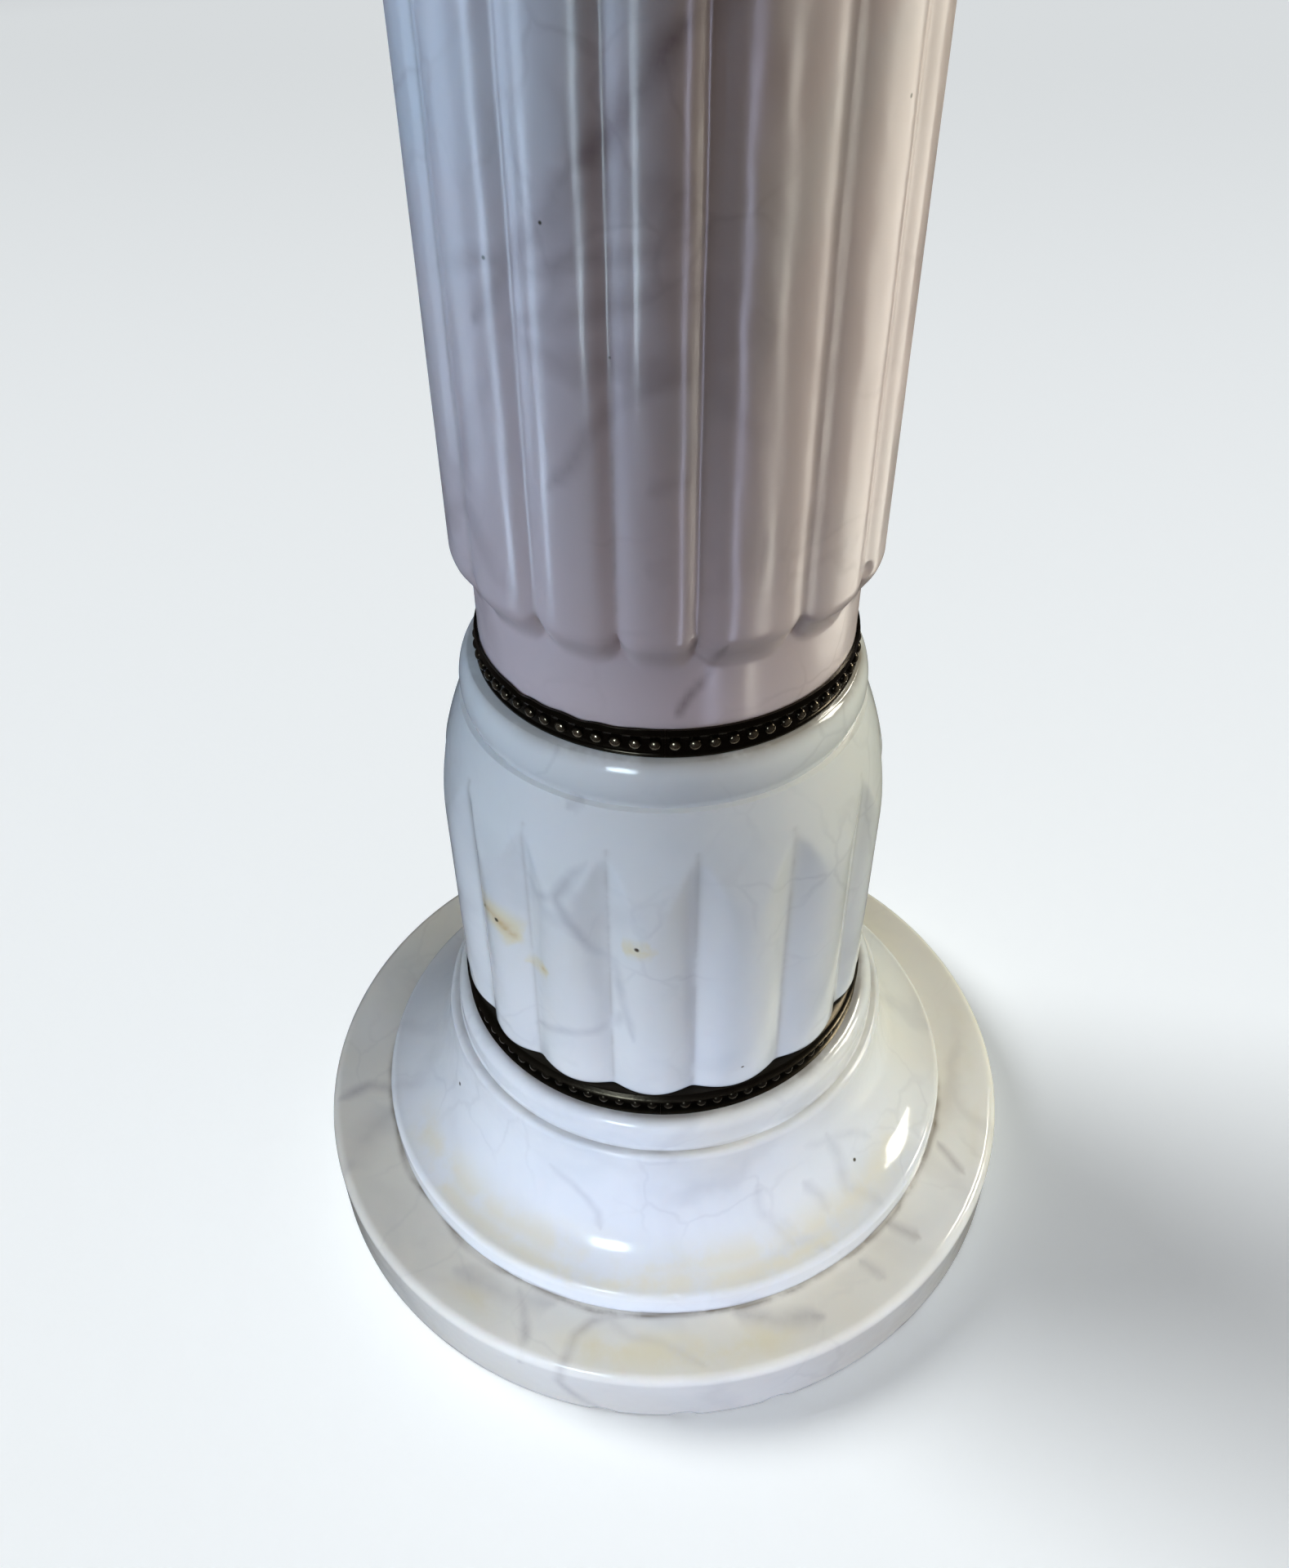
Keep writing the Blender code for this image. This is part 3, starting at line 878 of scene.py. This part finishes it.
VEIN_WIDER = 1.25
for number, (piece, strokes, share) in enumerate(VEINS):
    unsteady = wander(mesh_points(piece), VEIN_WANDER, seed=number)
    marks = []
    for path, width, strength in strokes:
        marks.append((stroke(unsteady, path, VEIN_WIDER * width), share * strength))
    paint(piece, "veins", marks)

# %% [markdown]
# ## Rust, cream, dirt and painted shade
#
# Three ochre stains on the drum come from specks of iron in the stone. A broader
# cream stain lies where wet cleaning cloths leave their water, above the lip and
# on the front of the disc. Grooves, joints and creases, and the stone beside the
# brass, get a darker tint: partly dirt, partly painted shade.

# %% Paint stains and dirt
SHADE_AND_DIRT_FROM = 0.86


def groove_shade_and_dirt(points, wander_of, shift, crest, foot):
    """Painted shade and dirt in the carved grooves of a piece, above its foot."""
    moved_points = points - np.array((shift, 0, 0))
    out, degrees, up = measured(moved_points)
    station = np.abs(stations(np.radians(degrees), wander_of))
    in_groove = np.clip((station - SHADE_AND_DIRT_FROM) / (1 - SHADE_AND_DIRT_FROM), 0, 1) ** 2
    return in_groove * (out > crest - 5 * MM) * (up > foot)


def joint_shade_and_dirt(points, node_edge, width):
    """Painted shade and dirt beside a round joint, given as radius and height."""
    return hoop(points, node_edge[0], node_edge[1], width) ** 2


drum_points = wander(mesh_points(lobed_drum), 0.8 * MM, seed=7)
paint(lobed_drum, "rust", [
    (stroke(drum_points, ((75.4, -55.5, 172), (76.5, -45.8, 168), (75.3, -39.5, 163)), 12.0), 1.0),
    (stroke(drum_points, ((76.3, -52, 169.5), (76.5, -46, 168), (76, -42, 165)), 6.0), 1.1),
    (stroke(drum_points, ((73.7, -38.5, 153), (75.5, -31, 156)), 6.0), 1.0),
    (stroke(drum_points, ((75.2, -11, 177.4), (75.9, -2.6, 178.8)), 6.5), 1.3),
])
drum_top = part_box("lobed_drum")[1].z
# Painted shade, with a little dirt: darker grooves and a soft band under the neck ring.
paint(lobed_drum, "shade_and_dirt", [
    (groove_shade_and_dirt(mesh_points(lobed_drum), DRUM_WANDER, DRUM_OFF_AXIS, DRUM_RADIUS, 0.104), 0.26),
    (joint_shade_and_dirt(drum_points, (61 * MM, drum_top), 6 * MM), 0.8),
])
bell_points = wander(mesh_points(base_bell), 1.2 * MM, seed=9)
bell_low, bell_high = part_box("base_bell")
paint(base_bell, "rust", [
    (hoop(bell_points, 110 * MM, bell_low.z + LIP_HEIGHT + 1 * MM, 9 * MM, -62, 44), 0.5),
    (hoop(bell_points, 104 * MM, bell_low.z + LIP_HEIGHT + 3 * MM, 14 * MM, -75, 75), 0.42),
])
# Painted shade, with some dirt: at the lip's foot, under the foot ring and in the collar crease.
paint(base_bell, "shade_and_dirt", [
    (joint_shade_and_dirt(bell_points, (115 * MM, bell_low.z), 2.4 * MM), 0.8),
    (joint_shade_and_dirt(bell_points, (76 * MM, bell_high.z), 4 * MM), 0.6),
    (joint_shade_and_dirt(bell_points, (COLLAR_RADIUS, bell_high.z - COLLAR_HEIGHT), 1.8 * MM), 0.35),
])
disc_points = wander(mesh_points(base_disc), 1.5 * MM, seed=11)
disc_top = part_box("base_disc")[1].z
paint(base_disc, "rust", [
    (hoop(disc_points, 130 * MM, disc_top, 12 * MM, -20, 26), 0.6),
    (hoop(disc_points, 130 * MM, disc_top, 8 * MM, -42, -22), 0.45),
    (hoop(disc_points, 132 * MM, disc_top, 9 * MM, 60, 110), 0.2),
])
# Painted shade at the lip's joint and at the disc's lower edge, with a dark joint line.
paint(base_disc, "shade_and_dirt", [
    (joint_shade_and_dirt(disc_points, (115.5 * MM, disc_top), 2.6 * MM), 0.9),
    (joint_shade_and_dirt(disc_points, (140 * MM, 0.0), 1.6 * MM), 1.0),
])
shaft_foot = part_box("reeded_shaft")[0].z
# Painted shade, with some dirt: darker grooves and a thin band above the neck ring.
paint(reeded_shaft, "shade_and_dirt", [
    (groove_shade_and_dirt(mesh_points(reeded_shaft), SHAFT_WANDER, 0.0, 65.5 * MM, shaft_foot + 36 * MM), 0.22),
    (joint_shade_and_dirt(mesh_points(reeded_shaft), (NECK_RADIUS, shaft_foot + 10.5 * MM), 2.2 * MM), 0.8),
])

# %% [markdown]
# ## Small breaks
#
# The lip and the underside have lost a few flakes, and one reed end is bruised.
# They stay, because they are part of this column.

# %% Break small chips
# piece, radius, degrees, height, width of the flake, its height, depth, seed and lift
CHIPS = (
    (base_bell, 115.0, 2.1, 36.2, 2.2, 1.6, 0.8, 1.0, -0.25),
    (base_disc, 140.2, -9.1, 0.2, 4.5, 1.8, 1.2, -9.1, 0.25),
    (base_disc, 140.2, 3.0, 0.4, 4.5, 1.8, 1.6, 3.0, 0.25),
    (base_disc, 140.2, 17.0, 0.3, 4.5, 1.8, 1.0, 17.0, 0.25),
    (base_disc, 140.2, 96.0, 0.3, 4.5, 1.8, 1.2, 96.0, 0.25),
    (reeded_shaft, 63.6, 61.1, 287.5, 3, 3, 1.0, 4.0, -0.25),
)
for piece, radius, degrees, height, wide, tall, depth, seed, lift in CHIPS:
    reach = (wide * MM, wide * MM, tall * MM)
    chip(piece, on_column(radius * MM, degrees, height * MM), reach, depth * MM, seed, lift)

# %% [markdown]
# ## Polished veined stone
#
# The stone is a fine white alabaster. Beneath the painted marks it has soft
# clouds, where the crystals differ, and a faint network of healed cracks. Cells of
# a Voronoi texture meet in just such a network, once noise has bent them. Light
# enters this stone a few millimetres, so it also gets a little subsurface
# scattering, which softens the shading in the grooves. The polish is worn in
# patches: `dull` holds the roughness of the best and of the most worn ones.

# %% Stone recipe
BENDS = ((24.0, 0.030), (80.0, 0.008))
STONE_WHITE = (0.80, 0.80, 0.79, 1)
STONE_CREAM = (0.80, 0.74, 0.62, 1)
STONE_GREY = (0.58, 0.60, 0.62, 1)
VEIN_GREY = (0.46, 0.45, 0.46, 1)
VEIN_WARM = (0.50, 0.46, 0.42, 1)
VEIN_BROWN = (0.36, 0.27, 0.27, 1)
RUST_HALO = (0.80, 0.72, 0.52, 1)
RUST = (0.58, 0.36, 0.12, 1)
# Colour of the painted shade and dirt in grooves, joints and creases.
SHADE_AND_DIRT = (0.20, 0.15, 0.10, 1)
PIT_DARK = (0.08, 0.06, 0.04, 1)
GLOSSY = (0.07, 0.17)


def bent_place(tree):
    """Object position, pushed about by two sizes of noise so that nothing runs dead straight."""
    place = add(tree, "TexCoord").outputs["Object"]
    bent = place
    for scale, amount in BENDS:
        push = add(tree, "TexNoise", {"Vector": place, "Scale": scale, "Detail": 3.0})
        centred = vector(tree, "ADD", push.outputs["Color"], (-0.5, -0.5, -0.5))
        bent = vector(tree, "ADD", bent, vector(tree, "MULTIPLY", centred, (amount,) * 3))
    return place, bent


def network(tree, place, scale, width, offset):
    """Edges of bent cells, kept only in patches."""
    shifted = vector(tree, "ADD", place, offset)
    inputs = {"Vector": shifted, "Scale": scale}
    edges = add(tree, "TexVoronoi", inputs, feature="DISTANCE_TO_EDGE").outputs["Distance"]
    line = fade(tree, edges, 0.0, width, 1.0, 0.0)
    patches = fade(tree, noise(tree, shifted, scale * 0.5, 2.0), 0.45, 0.65)
    return calc(tree, "MULTIPLY", line, patches)


def ball(tree, place, centre, core, edge):
    """1 inside the core radius, fading to 0 at the edge radius."""
    return fade(tree, distance(tree, place, centre), core, edge, 1.0, 0.0)


def painted(tree, attribute, texture, low, high, least=0.15):
    """A painted number, broken up by a texture but never below its least share."""
    mask = add(tree, "Attribute", attribute_name=attribute).outputs["Fac"]
    return calc(tree, "MULTIPLY", mask, fade(tree, texture, low, high, least, 1.0))


def polish(tree, shader, place, dull):
    """Slow waves and fine pulls of the polishing pad."""
    waves = noise(tree, place, 70.0, 2.0)
    pulls = noise(tree, place, 320.0, 3.0)
    height = calc(tree, "ADD", waves, calc(tree, "MULTIPLY", pulls, 0.12))
    bump = add(tree, "Bump", {"Height": height, "Strength": 0.22, "Distance": 1 * MM}).outputs["Normal"]
    worn = noise(tree, place, 45.0, 4.0)
    fill(tree, shader, {"Normal": bump, "Roughness": fade(tree, worn, 0.3, 0.7, *dull)})


def blank_material(name):
    material = bpy.data.materials.new(name)
    material.use_nodes = True
    tree = material.node_tree
    return material, tree, tree.nodes["Principled BSDF"]


def stone(name, offset, base=STONE_WHITE, vein=VEIN_GREY, pits=(), cream=0.3, cracks=0.35, dull=GLOSSY):
    material, tree, shader = blank_material(name)
    place, bent = bent_place(tree)
    first, second, third = offset
    clouds = noise(tree, vector(tree, "ADD", place, offset), 11.0, 4.0, 0.55, 0.6)
    colour = tint(tree, fade(tree, clouds, 0.42, 0.80, 0.0, 0.6), base, STONE_GREY)
    warm = noise(tree, vector(tree, "ADD", place, (third, first, second)), 7.0, 3.0)
    colour = tint(tree, fade(tree, warm, 0.45, 0.70, 0.0, cream), colour, STONE_CREAM)
    fine = network(tree, bent, 34.0, 0.05, offset)
    broad = network(tree, bent, 15.0, 0.09, (second, third, first))
    colour = tint(tree, calc(tree, "MULTIPLY", fine, cracks * 0.6), colour, vein)
    colour = tint(tree, calc(tree, "MULTIPLY", broad, cracks), colour, vein)
    smoke = noise(tree, place, 55.0, 4.0, 0.6)
    colour = tint(tree, painted(tree, "veins", smoke, 0.30, 0.65, 0.45), colour, vein)
    rust = painted(tree, "rust", smoke, 0.25, 0.60)
    colour = tint(tree, fade(tree, rust, 0.0, 0.7), colour, RUST_HALO)
    colour = tint(tree, fade(tree, rust, 0.55, 1.3), colour, RUST)
    # Painted shade and dirt darken grooves, joints and creases.
    colour = tint(tree, painted(tree, "shade_and_dirt", smoke, 0.30, 0.55), colour, SHADE_AND_DIRT)
    for radius, degrees, height, size in pits:
        pit = ball(tree, place, on_column(radius * MM, degrees, height * MM), 0.4 * size * MM, size * MM)
        colour = tint(tree, pit, colour, PIT_DARK)
    polish(tree, shader, place, dull)
    fill(tree, shader, {"Base Color": colour, "Subsurface Weight": 0.25, "Subsurface Scale": 4 * MM,
                        "Subsurface Radius": (1.0, 0.85, 0.7)})
    return material


# %% [markdown]
# ## Dress the stones
#
# All six stones share the recipe, each with its own offset into the textures, so
# that no two show the same veins. The shaft's stone gets a darker, browner base:
# partly the block's own tint, partly painted shade that darkens the whole shaft.
# Its polish is duller. Pits are given as radius, degrees, height and size.

# %% Give each stone its material
SATIN = (0.18, 0.26)
SHAFT_PITS = ((62.9, -11.9, 361.5, 0.7), (64.4, -39.5, 379, 0.7), (65.1, -24.8, 389.4, 0.7),
              (64.9, 52.1, 409.7, 0.7))
DRUM_PITS = ((76.5, -46.2, 168.2, 1.2), (76.3, -51.7, 169, 0.9), (73.7, -37.1, 153.5, 1.1),
             (75.8, -6.8, 178.5, 1.2), (75.3, 20.8, 113.4, 0.8))
BELL_PITS = ((89, -63.9, 59.5, 1.1), (96.6, 48.9, 45.8, 1.0))
DISC_BASE = (0.90, 0.87, 0.80, 1)
# Darker, browner base for the shaft: its own tint plus painted shade.
SHAFT_BASE_WITH_SHADE = (0.73, 0.60, 0.60, 1)


def dress(piece, node, material):
    piece.data.materials.clear()
    piece.data.materials.append(material)
    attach(piece, "root")
    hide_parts(node)


STONES = (
    (base_disc, "base_disc", "disc_stone", (0.31, 0.12, 0.05),
     dict(base=DISC_BASE, vein=VEIN_WARM, cream=0.8, cracks=0.2)),
    (base_bell, "base_bell", "bell_stone", (0.11, 0.42, 0.33),
     dict(pits=BELL_PITS, cream=0.6, cracks=0.25)),
    (lobed_drum, "lobed_drum", "drum_stone", (0.21, 0.02, 0.53),
     dict(pits=DRUM_PITS, cream=0.25, cracks=0.3)),
    (reeded_shaft, "reeded_shaft", "shaft_stone", (0.0, 0.3, 0.1),
     dict(base=SHAFT_BASE_WITH_SHADE, vein=VEIN_BROWN, pits=SHAFT_PITS, cream=0.2, cracks=0.3, dull=SATIN)),
    (capital, "capital", "capital_material", (0.61, 0.22, 0.13), {}),
    (top_disc, "top_disc", "top_stone", (0.41, 0.72, 0.23), dict(cracks=0.4)),
)
for piece, node, material_name, offset, settings in STONES:
    dress(piece, node, stone(material_name, offset, **settings))
print("stones dressed:", len(STONES))

# %% [markdown]
# ## Old brass
#
# The brass has gone nearly black, and only the tips of the beads and the edges
# keep some shine where cloths rub. Distance from the column's axis tells us which
# points stand proud, so that distance drives the wear.

# %% Give the strips their material
PATINA = (0.026, 0.021, 0.014, 1)
WORN_BRASS = (0.55, 0.46, 0.32, 1)
RUBBED_DEPTH = 0.9 * MM


def old_brass(name, centre_x, proud_radius, rubbed):
    material, tree, shader = blank_material(name)
    place = add(tree, "TexCoord").outputs["Object"]
    level = vector(tree, "MULTIPLY", place, (1.0, 1.0, 0.0))
    out = distance(tree, level, (centre_x, 0.0, 0.0))
    rub = fade(tree, out, proud_radius - RUBBED_DEPTH, proud_radius)
    patchy = fade(tree, noise(tree, place, 240.0, 4.0), 0.35, 0.75, 0.4 * rubbed, rubbed)
    wear = calc(tree, "MULTIPLY", rub, patchy)
    grain = noise(tree, place, 900.0, 3.0)
    bump = add(tree, "Bump", {"Height": grain, "Strength": 0.2, "Distance": 0.2 * MM}).outputs["Normal"]
    fill(tree, shader, {"Base Color": tint(tree, wear, PATINA, WORN_BRASS), "Metallic": 0.9, "Normal": bump,
                        "Roughness": fade(tree, patchy, 0.0, 1.0, 0.26, 0.14)})
    return material


STRIPS = ((foot_strip, "foot_beaded_ring", 0.12), (neck_strip, "neck_beaded_ring", 1.0),
          (capital_strip, "capital_beaded_ring", 0.7))
for strip, node, rubbed in STRIPS:
    corner_low, corner_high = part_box(node)
    middle_x = (corner_low.x + corner_high.x) / 2
    dress(strip, node, old_brass(node + "_patina", middle_x, half_width(node), rubbed))
print("strips dressed:", len(STRIPS))

# %% [markdown]
# ## A pale floor
#
# The floor is a wide shallow bowl, so that low views also end on something pale.
# A white floor this close would throw its light up at the column and hide the
# dark front of the shaft. So the floor glows faintly by itself and isn't seen by
# the stone. Only its soft shadow is real light: one sun shines on it alone.

# %% Make the floor
FLOOR_FLAT = 2.5
FLOOR_CURVE = 1.5
FLOOR_WALL = 4.0
FLOOR_TURNS = 96
FLOOR_COLOUR = (0.79, 0.83, 0.86, 1)
FLOOR_NEAR = 0.43
FLOOR_FAR = 0.235
GLOW_FADES = (-0.4, 2.0)


def floor_material():
    material, tree, shader = blank_material("pale_floor")
    place = add(tree, "TexCoord").outputs["Object"]
    depth = add(tree, "SeparateXYZ", {0: place}).outputs["Y"]
    glow = fade(tree, depth, *GLOW_FADES, FLOOR_NEAR, FLOOR_FAR)
    fill(tree, shader, {"Base Color": FLOOR_COLOUR, "Emission Color": FLOOR_COLOUR,
                        "Emission Strength": glow, "Roughness": 1.0, "Specular IOR Level": 0.0})
    return material


def pale_floor():
    outline = [(0.001, 0.0)] + arc((FLOOR_FLAT, FLOOR_CURVE), FLOOR_CURVE, -90, 0, 16)
    outline.append((FLOOR_FLAT + FLOOR_CURVE, FLOOR_WALL))
    points = [(r * math.cos(t), r * math.sin(t), z) for r, z in outline for t in around(FLOOR_TURNS)]
    faces = [tuple(range(FLOOR_TURNS))]
    for row in range(len(outline) - 1):
        low = row * FLOOR_TURNS
        for column in range(FLOOR_TURNS):
            after = (column + 1) % FLOOR_TURNS
            high = low + FLOOR_TURNS
            faces.append((low + column, low + after, high + after, high + column))
    floor = add_piece("pale_floor", points, faces)
    floor.data.materials.append(floor_material())
    floor.visible_diffuse = False
    floor.visible_glossy = False
    floor.visible_shadow = False
    return floor


floor = pale_floor()
print("floor", len(floor.data.polygons), "faces, out to", FLOOR_FLAT + FLOOR_CURVE, "m")

# %% [markdown]
# ## Lights for the body of the stone
#
# Big soft lights give the stone its body: cool daylight from the left, warmer
# light from the right and above, and two narrow low ones that brighten the foot
# but miss the shaft. In Cycles a light can be linked to chosen objects, which
# keeps these off the floor. They are also hidden from mirror reflections.

# %% Set the soft lights
def collect(name, things):
    group = bpy.data.collections.new(name)
    for thing in things:
        group.objects.link(thing)
    return group


column_only = collect("column_only", [piece for piece, *rest in STONES + STRIPS])
shaft_only = collect("shaft_only", [reeded_shaft])
others = [thing for thing in column_only.objects if thing != reeded_shaft]
all_but_shaft = collect("all_but_shaft", others)
floor_only = collect("floor_only", [floor])


def area_light(name, place, target, size, power, colour, spread=180):
    lamp = bpy.data.lights.new(name, "AREA")
    lamp.energy = power
    lamp.color = colour
    lamp.shape = "RECTANGLE"
    lamp.size, lamp.size_y = size
    lamp.spread = math.radians(spread)
    lit = place_in_scene(name, lamp)
    lit.location = place
    lit.rotation_euler = (Vector(target) - lit.location).to_track_quat("-Z", "Y").to_euler()
    lit.light_linking.receiver_collection = column_only
    return lit


def body_light(name, azimuth, elevation, distance, size, power, colour, aim=0.1, spread=180):
    rise = math.radians(elevation)
    place = on_column(distance * math.cos(rise), azimuth, aim + distance * math.sin(rise))
    lit = area_light(name, place, (0, 0, aim), (size, size), power, colour, spread)
    lit.visible_glossy = False
    return lit


# name, azimuth, elevation, distance, size, power, colour, then aim and spread where they differ
BODY_LIGHTS = (
    ("left_near", -62, 8, 1.5, 0.7, 2.6, (0.64, 0.78, 1.0)),
    ("left_far", -100, 8, 1.5, 0.7, 0.5, (0.45, 0.68, 1.0)),
    ("left_high", -82, 4, 0.9, 0.3, 0.60, (0.50, 0.74, 1.0), 0.54, 46),
    ("right_high", 112, 40, 1.5, 0.7, 4.2, (1.0, 0.96, 0.72)),
    ("overhead", 50, 62, 1.5, 0.7, 2.7, (1.0, 0.94, 0.78)),
    ("right_low", 98, 8, 1.5, 0.7, 14.5, (0.94, 1.0, 0.88)),
    ("behind", 180, 25, 1.5, 0.9, 1.8, (0.90, 0.94, 1.0)),
    ("foot_left", -34, 22, 0.85, 0.3, 0.38, (0.76, 0.87, 1.0), -0.01, 46),
    ("foot_right", 10, 16, 0.85, 0.3, 0.22, (0.60, 0.68, 1.0), -0.06, 38),
)
for row in BODY_LIGHTS:
    body_light(*row)
print("soft lights:", len(BODY_LIGHTS))

# %% [markdown]
# ## Strips for the polish
#
# A polished column shows its lights as long lines. Product photographers stand
# narrow white cards beside a bottle for this. Our strips stand round the column
# and are hidden from diffuse light, so they draw lines and highlights and nothing
# else. The long ones would stripe the round shoulder and the bell as well, so they
# are linked to the shaft alone, and small windows give the rest its highlights.
# Strength is given per square metre.

# %% Set the mirror strips
def mirror_strip(name, azimuth, away, width, low, high, strength, colour, onto):
    place = on_column(away, azimuth, (low + high) / 2)
    power = strength * width * (high - low)
    strip = area_light(name, place, (0, 0, place.z), (width, high - low), power, colour)
    strip.visible_diffuse = False
    strip.light_linking.receiver_collection = onto
    return strip


COOL = (0.72, 0.88, 1.0)
WARM = (1.0, 0.96, 0.84)
LILAC = (0.66, 0.72, 1.0)
BLUE = (0.60, 0.78, 1.0)
# name, azimuth, distance, width, foot, top, strength, colour, receivers
STRIPS_OF_LIGHT = (
    ("left_edge", -96, 0.36, 0.11, 0.16, 0.46, 5, BLUE, shaft_only),
    ("left_streak", -66, 0.36, 0.05, 0.10, 0.46, 24, BLUE, shaft_only),
    ("front_window", -20, 0.50, 0.10, 0.30, 0.44, 70, COOL, all_but_shaft),
    ("front_streak", -22, 0.50, 0.025, 0.17, 0.38, 70, COOL, shaft_only),
    ("lilac_streak", 24, 0.36, 0.034, 0.0, 0.42, 20, LILAC, shaft_only),
    ("cream_streak", 47, 0.36, 0.026, 0.0, 0.42, 26, WARM, shaft_only),
    ("right_streak", 106, 0.40, 0.24, 0.0, 0.46, 8, WARM, shaft_only),
    ("right_window", 100, 0.90, 0.20, 0.46, 0.80, 60, WARM, column_only),
    ("back_window", 124, 0.42, 0.10, 0.45, 0.70, 90, WARM, column_only),
)
for row in STRIPS_OF_LIGHT:
    mirror_strip(*row)
print("mirror strips:", len(STRIPS_OF_LIGHT))

# %% [markdown]
# ## Sun for the floor and a dim room
#
# The soft shadow on the floor comes from a sun with a wide disc. A dim, even
# world fills what no lamp reaches.

# %% Set the sun and the world
SUN_AZIMUTH = -112
SUN_ELEVATION = 42
SUN_WIDTH = 28
SUN_STRENGTH = 2.8
ROOM_COLOUR = (1.0, 0.82, 0.78, 1)
ROOM_STRENGTH = 0.038


def floor_sun():
    lamp = bpy.data.lights.new("floor_sun", "SUN")
    lamp.energy = SUN_STRENGTH
    lamp.angle = math.radians(SUN_WIDTH)
    lamp.color = (1.0, 1.0, 0.98)
    sun = place_in_scene("floor_sun", lamp)
    rise = math.radians(SUN_ELEVATION)
    sun.location = on_column(3 * math.cos(rise), SUN_AZIMUTH, 3 * math.sin(rise))
    sun.rotation_euler = (-sun.location).to_track_quat("-Z", "Y").to_euler()
    sun.light_linking.receiver_collection = floor_only


floor_sun()
world = bpy.data.worlds.new("room")
bpy.context.scene.world = world
world.use_nodes = True
background = world.node_tree.nodes["Background"]
background.inputs["Color"].default_value = ROOM_COLOUR
background.inputs["Strength"].default_value = ROOM_STRENGTH
bpy.context.scene.view_settings.view_transform = "Standard"
